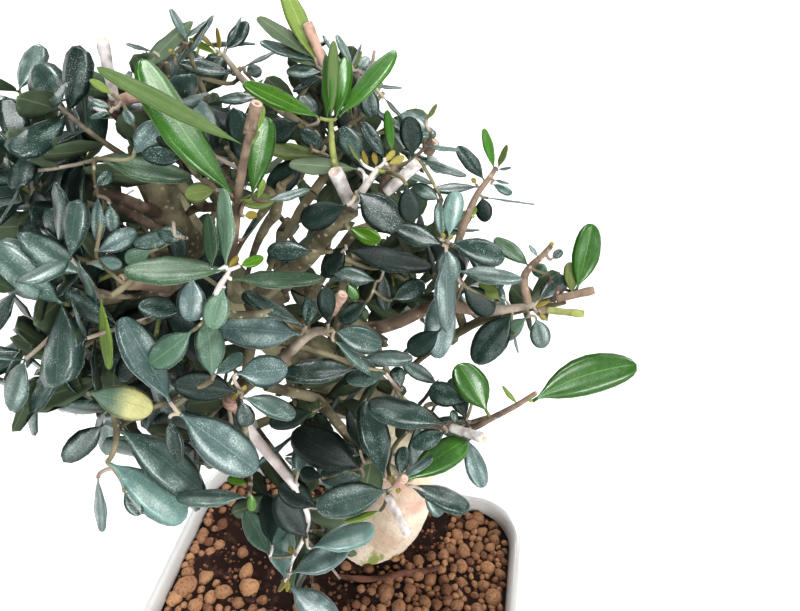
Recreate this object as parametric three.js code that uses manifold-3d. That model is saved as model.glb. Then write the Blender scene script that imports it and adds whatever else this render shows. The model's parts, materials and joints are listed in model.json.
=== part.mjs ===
import * as THREE from "three";
import { mergeVertices } from "three/addons/utils/BufferGeometryUtils.js";
import Module from "manifold-3d";

// Olive bonsai in a white glazed pot. Lengths are in millimetres and angles in degrees, +Z is up.
// The origin is the centre of the pot's flat underside, and +Y points to the back of the plant.

const pot = {
  width: 155,
  depth: 120,
  height: 60,
  corner: 22,
  cornerSteps: 4,
  // inset from the rim's outline and height, from the foot up to the rounded rim
  outside: [[12, 0], [11.4, 5], [9.4, 7.5], [3, 47], [0.6, 50.5], [0, 54], [0.3, 58.2], [1.7, 60]],
  inside: [[15.5, 8], [12.5, 11], [5.6, 52], [4.8, 57.4], [3.3, 60]],
};
const soilTop = 55;
const gap = 0.3;
const weldDistance = 1e-3;

const trunk = {
  // from under the soil up to the leader's tip
  line: [
    [7, 35, 44], [10, 34.5, 55], [21, 34, 80], [24.5, 33, 110], [21, 32, 136], [9, 30, 156],
    [-9, 28, 173], [-26, 26, 195], [-41, 25, 218], [-48, 26, 238], [-50, 27, 250],
  ],
  footRadius: 14.2,
  tipRadius: 3.9,
  taper: 0.78,
  flare: 3.4,
  flareHeight: 9,
  lobes: 4,
  sides: 11,
  steps: 22,
};

const crown = { centre: [-16, 20, 219], half: [74, 68, 68] };

// Each ring of foliage masses goes round the crown at one elevation, from the azimuth first.
// leaves is the height at which each mass's bough leaves the trunk.
const rings = [
  { name: "top", elevation: 60, first: -135, reach: 1, leaves: [224, 198, 206, null] },
  { name: "shoulder", elevation: 22, first: -110, reach: 1, leaves: [210, 186, 178, 194, 216, 230] },
  { name: "side", elevation: -16, first: -140, reach: 1, leaves: [200, 170, 160, 166, 186, 206] },
  { name: "under", elevation: -50, first: -60, reach: 0.98, leaves: [164, 174, 190] },
];

// Limbs that stand out of the crown: where the bough leaves the trunk, its tip, and its mass's stem
const strays = [
  { name: "right", leaves: 150, tip: [54, 21, 210], stem: [[63, 23, 212]], shoots: 3 },
  { name: "low_right", leaves: 130, tip: [46, 4, 176], stem: [[55, 5, 182]], shoots: 2 },
  { name: "hanging", leaves: 154, tip: [-16, -7, 176], stem: [[-3, -11, 152], [-2, -14, 132]], shoots: 2 },
];

// Shoots that reach past their neighbours: the tip's azimuth, elevation and reach, the way it points,
// its length, the number of leaf pairs and the leaf's length
const longShoots = [
  { tip: [5, -2, 1.24], points: [0, 4], length: 22, pairs: 3, leaf: 19 },
  { tip: [9, 6, 1.1], points: [40, 60], length: 18, pairs: 2, leaf: 16 },
  { tip: [-9, -19, 1.16], points: [5, 35], length: 20, pairs: 2, leaf: 26 },
  { tip: [-78, -69, 1.6], points: [-110, -62], length: 30, pairs: 3, leaf: 19 },
  { tip: [72, 67, 0.92], points: [80, 70], length: 20, pairs: 2, leaf: 24 },
  { tip: [-24, 61, 0.9], points: [-24, 84], length: 22, pairs: 2, leaf: 20 },
  { tip: [-59, 58, 1.0], points: [-60, 84], length: 30, pairs: 2, leaf: 24 },
  { tip: [33, 13, 1.02], points: [30, 50], length: 22, pairs: 3, leaf: 16 },
];

const growth = {
  entry: 0.4,
  leaderStemEnd: 0.7,
  heart: 0.62,
  stemShare: 0.2,
  shoots: 4,
  spread: 17,
  strayReach: 16,
  straySpread: 9,
  longSeed: 9000,
  pairs: 3,
  internode: 6.4,
  // a twig that doesn't fit at its full reach is tried again at these shares of it
  reachShares: [1, 0.9, 0.8, 0.7, 0.6],
  leafLength: 18,
  leafWidth: 0.5,
  youngLeafWidth: 0.3,
  leafThickness: 0.9,
  leafCamber: 0.07,
  leafAngle: 62,
  foldAngles: [0, -10, 10, -20, -32],
  petiole: 3,
  rootDepth: 0.15,
  twigRadius: 1.2,
  stemRadius: 1.5,
  trunkClearance: 16,
  cellMargin: 0.3,
  twigTaper: 0.75,
  twigFacets: 90,
  leafFacets: 36,
};

// The corners of a leaf, as shares of its length and half its width, from the root round to the right
const leafOutline = [[0, 0], [0.52, 1], [0.95, 0.42], [0.95, -0.42], [0.52, -1]];

const bough = { footRadius: 1.9, radiusPerLength: 0.016, sides: 5, steps: 4 };

const glaze = { color: 0xf4f3f1, roughness: 0.16 };
const earth = { color: 0x5a3d2e, roughness: 0.95 };
const bark = { color: 0x8f8873, roughness: 0.86 };
const foliage = { color: 0x4d6656, roughness: 0.5 };

const wasm = await Module();
wasm.setup();

const up = new THREE.Vector3(0, 0, 1);
const toVector = ([x, y, z]) => new THREE.Vector3(x, y, z);
const crownCentre = toVector(crown.centre);
const crownHalf = toVector(crown.half);

// A stream of repeatable random numbers from 0 to 1
function seededDice(seed) {
  let state = (seed * 7919 + 12345) % 2147483647;
  return () => {
    state = (state * 48271) % 2147483647;
    return state / 2147483647;
  };
}

function direction(azimuth, elevation) {
  const a = THREE.MathUtils.degToRad(azimuth);
  const e = THREE.MathUtils.degToRad(elevation);
  return new THREE.Vector3(Math.cos(e) * Math.cos(a), Math.cos(e) * Math.sin(a), Math.sin(e));
}

// A direction at a right angle to another one, level where that can be
function squareTo(axis) {
  const other = Math.abs(axis.z) > 0.9 ? toVector([1, 0, 0]) : up;
  return new THREE.Vector3().crossVectors(axis, other).normalize();
}

// The point of the crown at a share of its radius in one direction
function crownPoint(towards, share) {
  const radius = 1 / towards.clone().divide(crownHalf).length();
  return crownCentre.clone().addScaledVector(towards, radius * share);
}

function toSolid(geometry, weld = 1e-4) {
  geometry.deleteAttribute("normal");
  geometry.deleteAttribute("uv");
  const merged = mergeVertices(geometry, weld);
  return new wasm.Manifold(new wasm.Mesh({
    numProp: 3,
    vertProperties: new Float32Array(merged.attributes.position.array),
    triVerts: new Uint32Array(merged.index.array),
  }));
}

function toGeometry(solid) {
  const mesh = solid.getMesh();
  const geometry = new THREE.BufferGeometry();
  geometry.setAttribute("position", new THREE.BufferAttribute(mesh.vertProperties, 3));
  geometry.setIndex(new THREE.BufferAttribute(mesh.triVerts, 1));
  geometry.computeVertexNormals();
  return geometry;
}

// The biggest closed skin of a solid, its corners merged where they all but meet: this fills sealed
// hollows and drops loose scraps
function largestBody(solid) {
  let body = solid;
  let isSettled = false;
  while (!isSettled) {
    const skins = toSolid(toGeometry(body), weldDistance).decompose();
    const biggest = skins.reduce((best, skin) => (skin.volume() > best.volume() ? skin : best));
    isSettled = skins.length === 1 && biggest.numTri() === body.numTri();
    body = biggest;
  }
  return body;
}

// True where every edge of a solid lies between exactly two faces, so that nothing is pinched
function isSound(solid) {
  const { vertProperties, triVerts } = solid.getMesh();
  const round = (x) => Math.round(x / weldDistance);
  const keyOf = (i) => vertProperties.slice(3 * i, 3 * i + 3).map(round).join();
  const keys = Array.from({ length: vertProperties.length / 3 }, (_, i) => keyOf(i));
  const uses = new Map();
  for (let i = 0; i < triVerts.length; i += 1) {
    const next = i % 3 === 2 ? i - 2 : i + 1;
    const edge = [keys[triVerts[i]], keys[triVerts[next]]].sort().join(" ");
    uses.set(edge, (uses.get(edge) ?? 0) + 1);
  }
  return [...uses.values()].every((count) => count === 2);
}

// A limb of round section that follows a curve; radiusAt gives its radius from the share of the
// curve's length and the angle round it
function limb(curve, radiusAt, sides, steps) {
  const geometry = new THREE.CylinderGeometry(1, 1, 1, sides, steps);
  const frames = curve.computeFrenetFrames(steps, false);
  const position = geometry.attributes.position;
  const local = new THREE.Vector3();
  for (let i = 0; i < position.count; i += 1) {
    local.fromBufferAttribute(position, i);
    const ring = Math.round((local.y + 0.5) * steps);
    const angle = Math.atan2(local.x, local.z);
    const radius = radiusAt(ring / steps, angle);
    const point = curve.getPointAt(ring / steps);
    point.addScaledVector(frames.normals[ring], local.x * radius);
    point.addScaledVector(frames.binormals[ring], -local.z * radius);
    position.setXYZ(i, point.x, point.y, point.z);
  }
  return toSolid(geometry);
}

// A stack of rounded rectangles, each given by its inset from the pot's outline and its height
function roundedStack(rings, extraInset) {
  const perCorner = pot.cornerSteps + 1;
  const sides = 4 * perCorner;
  const geometry = new THREE.CylinderGeometry(1, 1, 1, sides, rings.length - 1);
  const position = geometry.attributes.position;
  for (let i = 0; i < position.count; i += 1) {
    const ring = Math.round((position.getY(i) + 0.5) * (rings.length - 1));
    const inset = rings[ring][0] + extraInset;
    const height = rings[ring][1];
    const isCentre = Math.hypot(position.getX(i), position.getZ(i)) < 0.5;
    const turn = Math.atan2(position.getX(i), position.getZ(i)) / (2 * Math.PI);
    const step = Math.round((turn + 1) * sides) % sides;
    const corner = Math.floor(step / perCorner);
    const angle = (corner + (step % perCorner) / pot.cornerSteps) * Math.PI / 2;
    const sideX = corner === 0 || corner === 3 ? 1 : -1;
    const sideY = corner < 2 ? 1 : -1;
    const radius = pot.corner - inset;
    const x = sideX * (pot.width / 2 - pot.corner) + radius * Math.cos(angle);
    const y = sideY * (pot.depth / 2 - pot.corner) + radius * Math.sin(angle);
    position.setXYZ(i, isCentre ? 0 : x, isCentre ? 0 : y, height);
  }
  return toSolid(geometry);
}

function makePot() {
  const above = pot.inside.at(-1);
  const cavity = [...pot.inside, [above[0] - 1, above[1] + 1]];
  return roundedStack(pot.outside, 0).subtract(roundedStack(cavity, 0));
}

function makeSoil() {
  const [lower, upper] = [pot.inside[2], pot.inside[3]];
  const share = (soilTop - lower[1]) / (upper[1] - lower[1]);
  const topInset = lower[0] + share * (upper[0] - lower[0]);
  const base = pot.inside.slice(0, 3).map(([inset, height]) => [inset, height]);
  base[0][1] += gap;
  return roundedStack([...base, [topInset, soilTop]], gap);
}

const trunkCurve = new THREE.CatmullRomCurve3(trunk.line.map(toVector), false, "centripetal");
const trunkLength = trunkCurve.getLength();
const trunkLine = trunkCurve.getSpacedPoints(400);

function trunkRadius(share, angle, extra) {
  const plain = trunk.tipRadius + (trunk.footRadius - trunk.tipRadius) * (1 - share) ** trunk.taper;
  const above = Math.max(share * trunkLength - (soilTop - trunk.line[0][2]), 0);
  const flare = trunk.flare * Math.exp(-above / trunk.flareHeight);
  const lobe = 1 + 0.35 * Math.cos(trunk.lobes * angle + 0.6);
  const flute = 1 + 0.04 * Math.cos(2 * angle + 5 * share) + 0.03 * Math.cos(3 * angle - 4 * share);
  return plain * flute + flare * lobe + extra;
}

function makeTrunk(extra) {
  const radius = (share, angle) => trunkRadius(share, angle, extra);
  const whole = limb(trunkCurve, radius, trunk.sides, trunk.steps);
  const box = new THREE.BoxGeometry(400, 400, 400);
  box.translate(0, 0, soilTop + gap + 200);
  return whole.intersect(toSolid(box));
}

// The point of the trunk's centre line at a height
function trunkPointAt(height) {
  return trunkLine.reduce((best, point) => (
    Math.abs(point.z - height) < Math.abs(best.z - height) ? point : best));
}

// The first point outwards in a direction that is well clear of the trunk
function entryShare(towards) {
  let share = growth.entry;
  const isNear = () => trunkLine.some((point) => (
    point.distanceTo(crownPoint(towards, share)) < growth.trunkClearance));
  while (isNear()) {
    share += 0.02;
  }
  return share;
}

// A bough rises from the trunk and bends over towards its tip
function boughCurve(from, tip) {
  const span = tip.clone().sub(from);
  const rise = Math.abs(span.z) * 0.3 + span.length() * 0.08;
  const bend = from.clone().addScaledVector(span, 0.5).addScaledVector(up, rise * 0.5);
  return new THREE.QuadraticBezierCurve3(from, bend, tip);
}

function boughRadius(length) {
  const foot = bough.footRadius + length * bough.radiusPerLength;
  return (share) => foot + (growth.stemRadius - foot) * share;
}

// The masses: each has the point that its space is drawn round, its bough and its stem
function planMasses() {
  const masses = [];
  for (const ring of rings) {
    ring.leaves.forEach((height, index) => {
      const azimuth = ring.first + index * 360 / ring.leaves.length;
      const towards = direction(azimuth, ring.elevation);
      const share = entryShare(towards);
      const isLeader = height === null;
      const stemEnd = isLeader ? growth.leaderStemEnd : share + growth.stemShare;
      masses.push({
        name: `${ring.name}_${index + 1}`,
        towards,
        reach: ring.reach,
        heart: crownPoint(towards, growth.heart),
        leaves: height,
        tip: isLeader ? trunkLine.at(-1) : crownPoint(towards, share),
        stem: [crownPoint(towards, stemEnd)],
        shoots: growth.shoots,
      });
    });
  }
  for (const stray of strays) {
    const stem = stray.stem.map(toVector);
    const heart = stem.at(-1);
    const towards = heart.clone().sub(toVector(stray.tip)).normalize();
    masses.push({ ...stray, towards, reach: 0, heart, tip: toVector(stray.tip), stem });
  }
  return masses;
}

const masses = planMasses();

function nearestMass(point) {
  return masses.reduce((best, mass) => (
    mass.heart.distanceTo(point) < best.heart.distanceTo(point) ? mass : best));
}

// True where every corner of a solid is nearer to this mass's heart than to any other
function isInside(mass, solid) {
  const { vertProperties } = solid.getMesh();
  const corner = new THREE.Vector3();
  for (let i = 0; i < vertProperties.length; i += 3) {
    corner.fromArray(vertProperties, i);
    for (const other of masses) {
      if (other === mass) continue;
      const between = other.heart.clone().sub(mass.heart);
      const middle = other.heart.clone().add(mass.heart).multiplyScalar(0.5);
      const past = corner.clone().sub(middle).dot(between.normalize());
      if (past > -growth.cellMargin) return false;
    }
  }
  return true;
}

// A leaf of ten faces: an outline of five corners with a raised middle, its root at the start
function leafSolid(root, along, face, length, width) {
  const side = new THREE.Vector3().crossVectors(face, along).normalize();
  const normal = new THREE.Vector3().crossVectors(along, side).normalize();
  const geometry = new THREE.SphereGeometry(1, leafOutline.length, 2);
  geometry.deleteAttribute("normal");
  geometry.deleteAttribute("uv");
  const position = geometry.attributes.position;
  for (let i = 0; i < position.count; i += 1) {
    const isPole = Math.abs(position.getY(i)) > 0.5;
    const turn = Math.atan2(position.getZ(i), -position.getX(i)) / (2 * Math.PI);
    const corner = Math.round((turn + 1) * leafOutline.length) % leafOutline.length;
    const [lengthways, sideways] = isPole ? [0.5, 0] : leafOutline[corner];
    const lift = isPole
      ? length * growth.leafCamber + Math.sign(position.getY(i)) * growth.leafThickness / 2
      : 0;
    const point = root.clone();
    point.addScaledVector(along, lengthways * length);
    point.addScaledVector(side, -sideways * width / 2);
    point.addScaledVector(normal, lift);
    position.setXYZ(i, point.x, point.y, point.z);
  }
  return toSolid(geometry);
}

// A shoot: its bare foot leaves the stem, and its outer part bears pairs of leaves at right angles
// to the pair before
function shootPlan(foot, tip, points, pairs, leafLength, dice) {
  const reach = tip.distanceTo(foot);
  const bend = tip.clone().addScaledVector(points, -reach * 0.45);
  const curve = new THREE.QuadraticBezierCurve3(foot, bend, tip);
  const firstRoll = dice() * Math.PI;
  const leaves = [];
  for (let pair = 0; pair < pairs; pair += 1) {
    const back = growth.internode * (pairs - 1 - pair) * (0.9 + 0.2 * dice());
    const share = Math.max(1 - back / curve.getLength(), 0.1);
    const at = curve.getPointAt(share);
    const axis = curve.getTangentAt(share);
    const across = squareTo(axis);
    const opening = growth.leafAngle - 14 * pair / pairs + 14 * (dice() - 0.5);
    const size = leafLength * (0.86 + 0.28 * dice());
    for (let half = 0; half < 2; half += 1) {
      const roll = firstRoll + pair * Math.PI / 2 + half * Math.PI + 0.5 * (dice() - 0.5);
      const outward = across.clone().applyAxisAngle(axis, roll);
      leaves.push({ at, axis, outward, opening, length: size * (0.94 + 0.12 * dice()) });
    }
  }
  return { curve, leaves };
}

function twigSolid(curve, footRadius, tipRadius, steps) {
  return limb(curve, (share) => footRadius + (tipRadius - footRadius) * share, 3, steps);
}

function leafFrom(plan, fold, leafWidth, cut = 0) {
  const angle = THREE.MathUtils.degToRad(plan.opening + fold);
  const along = plan.axis.clone().multiplyScalar(Math.cos(angle));
  along.addScaledVector(plan.outward, Math.sin(angle));
  const face = plan.axis.clone().multiplyScalar(Math.sin(angle));
  face.addScaledVector(plan.outward, -Math.cos(angle));
  const root = plan.at.clone().addScaledVector(along, cut - growth.twigRadius * growth.rootDepth);
  return leafSolid(root, along, face, plan.length - cut, plan.length * leafWidth);
}

// One shoot of a mass, pulled in to a share of its reach: the last goes on from the mass's stem, the
// others stand round it
function massShoot(mass, index, order, reachShare) {
  const dice = seededDice(100 * (index + 1) + order);
  const isMiddle = order === mass.shoots - 1;
  const spread = isMiddle ? 3 : growth.spread * (0.85 + 0.3 * dice());
  const roll = (order / (mass.shoots - 1)) * 2 * Math.PI + index * 1.3 + 0.5 * dice();
  const around = squareTo(mass.towards).applyAxisAngle(mass.towards, roll);
  const lean = THREE.MathUtils.degToRad(spread);
  const towards = mass.towards.clone().multiplyScalar(Math.cos(lean));
  towards.addScaledVector(around, Math.sin(lean));
  const share = (0.9 + 0.14 * dice()) * reachShare;
  const stray = mass.heart.clone().addScaledVector(mass.towards, growth.strayReach * share);
  stray.addScaledVector(around, isMiddle ? 1 : growth.straySpread);
  const tip = mass.reach > 0 ? crownPoint(towards, mass.reach * share) : stray;
  const footShare = isMiddle ? 0.96 : 0.35 + 0.5 * (order + dice()) / mass.shoots;
  const foot = massStemCurve(mass).getPointAt(footShare);
  const points = tip.clone().sub(foot).normalize().addScaledVector(towards, 0.5);
  points.addScaledVector(up, 0.35).normalize();
  const plan = shootPlan(foot, tip, points, growth.pairs, growth.leafLength, dice);
  return { ...plan, leafWidth: growth.leafWidth };
}

// A long shoot leaves the stem of the mass that it stands in, where the stem comes nearest to it
function longShoot(shoot, order) {
  const dice = seededDice(growth.longSeed + order);
  const tip = crownPoint(direction(shoot.tip[0], shoot.tip[1]), shoot.tip[2]);
  const points = direction(shoot.points[0], shoot.points[1]);
  const mass = nearestMass(tip.clone().addScaledVector(points, -shoot.length * 0.5));
  const aim = tip.clone().addScaledVector(points, -shoot.length);
  const foot = massStemCurve(mass).getSpacedPoints(20).slice(3).reduce((best, point) => (
    point.distanceTo(aim) < best.distanceTo(aim) ? point : best));
  const leafWidth = shoot.leaf > 20 ? growth.youngLeafWidth : growth.leafWidth;
  return { mass, ...shootPlan(foot, tip, points, shoot.pairs, shoot.leaf, dice), leafWidth };
}

function massStemCurve(mass) {
  const start = mass.tip.clone();
  const ahead = mass.stem[0].clone().sub(start).normalize();
  start.addScaledVector(ahead, gap);
  return new THREE.CatmullRomCurve3([start, ...mass.stem], false, "centripetal");
}

function massStem(mass, extra) {
  const [foot, tip] = [growth.stemRadius + extra, growth.twigRadius + extra];
  return twigSolid(massStemCurve(mass), foot, tip, mass.stem.length + 1);
}

// A mass: its stem, then its twigs, then each leaf that keeps clear of all else but its own twig.
// choices holds, for each twig, the plans to try in turn; taken is the space of limbs and other stems.
function growMass(mass, choices, limbs, taken) {
  let body = largestBody(massStem(mass, 0).subtract(limbs));
  const fits = (solid) => isInside(mass, solid) && solid.intersect(taken).isEmpty();
  const fuse = (solid, mostFacets) => {
    const fused = largestBody(body.add(solid));
    const isSimple = fused.numTri() - body.numTri() <= mostFacets;
    const isFused = isSimple && fused.volume() > body.volume() && isSound(fused);
    if (isFused) body = fused;
    return isFused;
  };
  const canGrow = (plan) => {
    const twig = twigSolid(plan.curve, growth.twigRadius, growth.twigRadius * growth.twigTaper, 2);
    return fits(twig) && fuse(twig, growth.twigFacets);
  };
  const grown = choices.map((plans) => plans.find(canGrow)).filter((plan) => plan);
  for (const { leaves, leafWidth } of grown) {
    for (const leaf of leaves) {
      growth.foldAngles.some((fold) => {
        const blade = leafFrom(leaf, fold, leafWidth, growth.petiole);
        const solid = leafFrom(leaf, fold, leafWidth);
        return blade.intersect(body).isEmpty() && fits(solid) && fuse(solid, growth.leafFacets);
      });
    }
  }
  return body;
}

const plant = new THREE.Group();

function add(name, solid, material) {
  const mesh = new THREE.Mesh(toGeometry(solid), new THREE.MeshStandardMaterial(material));
  mesh.name = name;
  plant.add(mesh);
}

add("pot", makePot(), glaze);
add("soil", makeSoil(), earth);
add("trunk", makeTrunk(0), bark);
const trunkSpace = makeTrunk(gap);

let limbSpace = trunkSpace;
for (const mass of masses) {
  if (mass.leaves === null) continue;
  const curve = boughCurve(trunkPointAt(mass.leaves), mass.tip);
  const radius = boughRadius(curve.getLength());
  const whole = limb(curve, radius, bough.sides, bough.steps);
  add(`bough_${mass.name}`, largestBody(whole.subtract(trunkSpace)), bark);
  limbSpace = limbSpace.add(limb(curve, (share) => radius(share) + gap, bough.sides, bough.steps));
}

const standingOut = longShoots.map(longShoot);
const stemSpaces = masses.map((mass) => massStem(mass, 2 * gap));
masses.forEach((mass, index) => {
  const orders = Array.from({ length: mass.shoots }, (_, order) => order);
  const plansOf = (order) => growth.reachShares.map((share) => massShoot(mass, index, order, share));
  const own = orders.map(plansOf);
  const long = standingOut.filter((shoot) => shoot.mass === mass).map((shoot) => [shoot]);
  const taken = stemSpaces.reduce((all, stem, other) => (other === index ? all : all.add(stem)), limbSpace);
  add(`foliage_${mass.name}`, growMass(mass, [...own, ...long], limbSpace, taken), foliage);
});

export default plant;
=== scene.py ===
# Olive bonsai in a white glazed pot: the looks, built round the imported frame.
# The growth rule works in millimetres, in the frame's own axes; meshes are made in metres.
import bmesh
import bpy
import json
import math
import numpy as np
from mathutils import Matrix, Vector, noise

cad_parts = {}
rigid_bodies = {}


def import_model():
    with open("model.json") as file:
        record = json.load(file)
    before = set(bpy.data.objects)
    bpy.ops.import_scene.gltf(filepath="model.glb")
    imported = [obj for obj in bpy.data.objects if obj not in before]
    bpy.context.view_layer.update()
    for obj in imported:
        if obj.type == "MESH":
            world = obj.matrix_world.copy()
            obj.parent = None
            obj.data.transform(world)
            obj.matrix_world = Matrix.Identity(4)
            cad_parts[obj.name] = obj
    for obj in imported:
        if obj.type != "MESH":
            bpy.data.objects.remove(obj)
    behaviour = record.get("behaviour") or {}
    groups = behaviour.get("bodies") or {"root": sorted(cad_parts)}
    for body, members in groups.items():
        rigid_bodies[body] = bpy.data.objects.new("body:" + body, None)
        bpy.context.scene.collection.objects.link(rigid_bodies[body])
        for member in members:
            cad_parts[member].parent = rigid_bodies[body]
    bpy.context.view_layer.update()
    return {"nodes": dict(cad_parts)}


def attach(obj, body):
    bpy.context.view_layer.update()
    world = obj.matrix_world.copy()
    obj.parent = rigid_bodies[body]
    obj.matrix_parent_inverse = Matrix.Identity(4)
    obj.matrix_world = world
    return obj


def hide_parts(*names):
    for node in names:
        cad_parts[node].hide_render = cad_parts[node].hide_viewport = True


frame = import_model()
mm = 0.001
up = Vector((0, 0, 1))


# growth rule
trunkSizes = {
    "line": [
        (7, 35, 44), (10, 34.5, 55), (21, 34, 80), (24.5, 33, 110), (21, 32, 136), (9, 30, 156),
        (-9, 28, 173), (-26, 26, 195), (-41, 25, 218), (-48, 26, 238), (-50, 27, 250),
    ],
    "footRadius": 14.2, "tipRadius": 3.9, "taper": 0.78,
    "flare": 3.4, "flareHeight": 9, "lobes": 4, "soilTop": 55,
}
crown = {"centre": Vector((-16, 20, 219)), "half": (74, 68, 68)}
rings = [
    {"elevation": 60, "first": -135, "reach": 1, "leaves": [224, 198, 206, None]},
    {"elevation": 22, "first": -110, "reach": 1, "leaves": [210, 186, 178, 194, 216, 230]},
    {"elevation": -16, "first": -140, "reach": 1, "leaves": [200, 170, 160, 166, 186, 206]},
    {"elevation": -50, "first": -60, "reach": 0.98, "leaves": [164, 174, 190]},
]
strays = [
    {"leaves": 150, "tip": (54, 21, 210), "stem": [(63, 23, 212)], "shoots": 3},
    {"leaves": 130, "tip": (46, 4, 176), "stem": [(55, 5, 182)], "shoots": 2},
    {"leaves": 154, "tip": (-16, -7, 176), "stem": [(-3, -11, 152), (-2, -14, 132)], "shoots": 2},
]
growth = {
    "entry": 0.4, "entryStep": 0.02, "leaderStemEnd": 0.7, "heart": 0.62, "stemShare": 0.2, "shoots": 4,
    "spread": 17, "middleSpread": 3, "strayReach": 16, "straySpread": 9, "middleFoot": 0.96,
    "firstFoot": 0.35, "footSpan": 0.5, "turn": 1.3, "turnSpread": 0.5, "keepOn": 0.5, "rise": 0.35,
    "pairs": 5, "internode": 6.4, "leafLength": 16.5, "leafAngle": 62, "angleSpread": 16, "closing": 14,
    "folds": (0, -12, 12, -24), "pairTurn": 0.5, "tipRoom": 6, "trunkClearance": 16, "trunkSteps": 400,
    "boughFoot": 1.9, "boughPerLength": 0.016, "boughRise": 0.3, "boughArch": 0.08, "stemRadius": 1.5,
    "bend": 0.45, "leafGap": 3.4, "darkShare": 0.6, "shadeWithin": 0.76, "massSeed": 100, "linkSteps": 10,
    "woodSpots": (20, 20, 10),  # left out at the trunk's foot, on each bough, on each stem
    "shapeNumbers": 100, "steep": 0.9,  # an axis more upright than this counts as upright
}
draws = {  # least value and span of a random draw
    "spread": (0.85, 0.3), "reach": (0.9, 0.14), "internode": (0.85, 0.3), "pairSize": (0.8, 0.36),
    "leafSize": (0.92, 0.16), "leafWidth": (0.46, 0.1), "sideLength": (13, 8),
    "chipSize": (0.5, 1), "chipTone": (-0.6, 0.8),
}
sideTwigs = {
    "count": 3, "from": 0.25, "step": 0.25, "jitter": 0.1, "onward": 0.8, "outward": 0.9, "arch": 1.5,
    "pairs": 3, "leafSize": 0.92, "start": 0.2, "green": 0.4, "lineSteps": 8, "steps": 4,
}
twigEnds = {  # radius at foot and tip
    "stem": (1.575, 1.2), "shoot": (1.0, 0.55), "side": (0.6, 0.42), "link": (0.75, 0.5),
    "petiole": (0.45, 0.4),
}


diceRule = {"factor": 48271, "modulus": 2147483647, "seedFactor": 7919, "seedShift": 12345}


def seededDice(seed):
    # the source's own rule for random numbers from 0 to 1
    state = (seed * diceRule["seedFactor"] + diceRule["seedShift"]) % diceRule["modulus"]

    def roll():
        nonlocal state
        state = state * diceRule["factor"] % diceRule["modulus"]
        return state / diceRule["modulus"]
    return roll


def draw(dice, name):
    least, span = draws[name]
    return least + span * dice()


def direction(azimuth, elevation):
    a, e = math.radians(azimuth), math.radians(elevation)
    return Vector((math.cos(e) * math.cos(a), math.cos(e) * math.sin(a), math.sin(e)))


def squareTo(axis):
    other = Vector((1, 0, 0)) if abs(axis.z) > growth["steep"] else up
    return axis.cross(other).normalized()


def crownPoint(towards, share):
    scaled = Vector(t / h for t, h in zip(towards, crown["half"]))
    return crown["centre"] + towards * (share / scaled.length)


def smoothLine(points, steps=24):
    # centripetal Catmull-Rom through the points
    pts = [Vector(p) for p in points]
    pts = [pts[0] * 2 - pts[1]] + pts + [pts[-1] * 2 - pts[-2]]
    line = [pts[1]]
    for a, b, c, d in zip(pts, pts[1:], pts[2:], pts[3:]):
        ab, bc, cd = ((q - p).length ** 0.5 for p, q in ((a, b), (b, c), (c, d)))
        start = ((b - a) / ab - (c - a) / (ab + bc) + (c - b) / bc) * bc
        end = ((c - b) / bc - (d - b) / (bc + cd) + (d - c) / cd) * bc
        for i in range(1, steps + 1):
            t = i / steps
            line.append(
                b * (2 * t ** 3 - 3 * t ** 2 + 1) + start * (t ** 3 - 2 * t ** 2 + t)
                + c * (3 * t ** 2 - 2 * t ** 3) + end * (t ** 3 - t ** 2)
            )
    return line


def bentLine(start, bend, end, steps=16):
    shares = [i / steps for i in range(steps + 1)]
    return [start * (1 - t) ** 2 + bend * (2 * t * (1 - t)) + end * t ** 2 for t in shares]


class Path:
    # a line that can be asked for its point and heading at a share of its length
    def __init__(self, points):
        self.points = points
        self.upTo = [0]
        for p, q in zip(points, points[1:]):
            self.upTo.append(self.upTo[-1] + (q - p).length)
        self.length = self.upTo[-1]

    def locate(self, share):
        want = min(max(share, 0), 1) * self.length
        i = min(int(np.searchsorted(self.upTo, want, side="right")) - 1, len(self.points) - 2)
        return i, (want - self.upTo[i]) / max(self.upTo[i + 1] - self.upTo[i], 1e-9)

    def at(self, share):
        i, part = self.locate(share)
        return self.points[i].lerp(self.points[i + 1], part)

    def spots(self, steps, first=0):
        # evenly spaced points, from a share of the length on
        return [self.at(first + (1 - first) * i / steps) for i in range(steps + 1)]

    def heading(self, share):
        i, _ = self.locate(share)
        return (self.points[i + 1] - self.points[i]).normalized()


def archedPath(start, end, outward, steps=16):
    # a path that arrives at its end the way outward points
    reach = (end - start).length
    return Path(bentLine(start, end - outward * reach * growth["bend"], end, steps))


trunkPath = Path(smoothLine(trunkSizes["line"]))
trunkLine = trunkPath.spots(growth["trunkSteps"])


def entryShare(towards):
    # how far from the crown's centre a bough keeps its distance from the trunk
    share = growth["entry"]
    while min((p - crownPoint(towards, share)).length for p in trunkLine) < growth["trunkClearance"]:
        share += growth["entryStep"]
    return share


def boughPath(height, tip):
    start = min(trunkLine, key=lambda p: abs(p.z - height))
    span = tip - start
    rise = abs(span.z) * growth["boughRise"] + span.length * growth["boughArch"]
    return Path(bentLine(start, start + span / 2 + up * rise * 0.5, tip))


def planMasses():
    masses = []
    for ring in rings:
        for i, height in enumerate(ring["leaves"]):
            towards = direction(ring["first"] + i * 360 / len(ring["leaves"]), ring["elevation"])
            share = entryShare(towards)
            isLeader = height is None
            stemEnd = growth["leaderStemEnd"] if isLeader else share + growth["stemShare"]
            masses.append({
                "towards": towards, "reach": ring["reach"], "leaves": height,
                "heart": crownPoint(towards, growth["heart"]),
                "tip": trunkLine[-1] if isLeader else crownPoint(towards, share),
                "stem": [crownPoint(towards, stemEnd)], "shoots": growth["shoots"],
            })
    for stray in strays:
        stem = [Vector(p) for p in stray["stem"]]
        towards = (stem[-1] - Vector(stray["tip"])).normalized()
        masses.append({**stray, "towards": towards, "reach": 0, "heart": stem[-1],
                       "tip": Vector(stray["tip"]), "stem": stem})
    return masses


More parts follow.
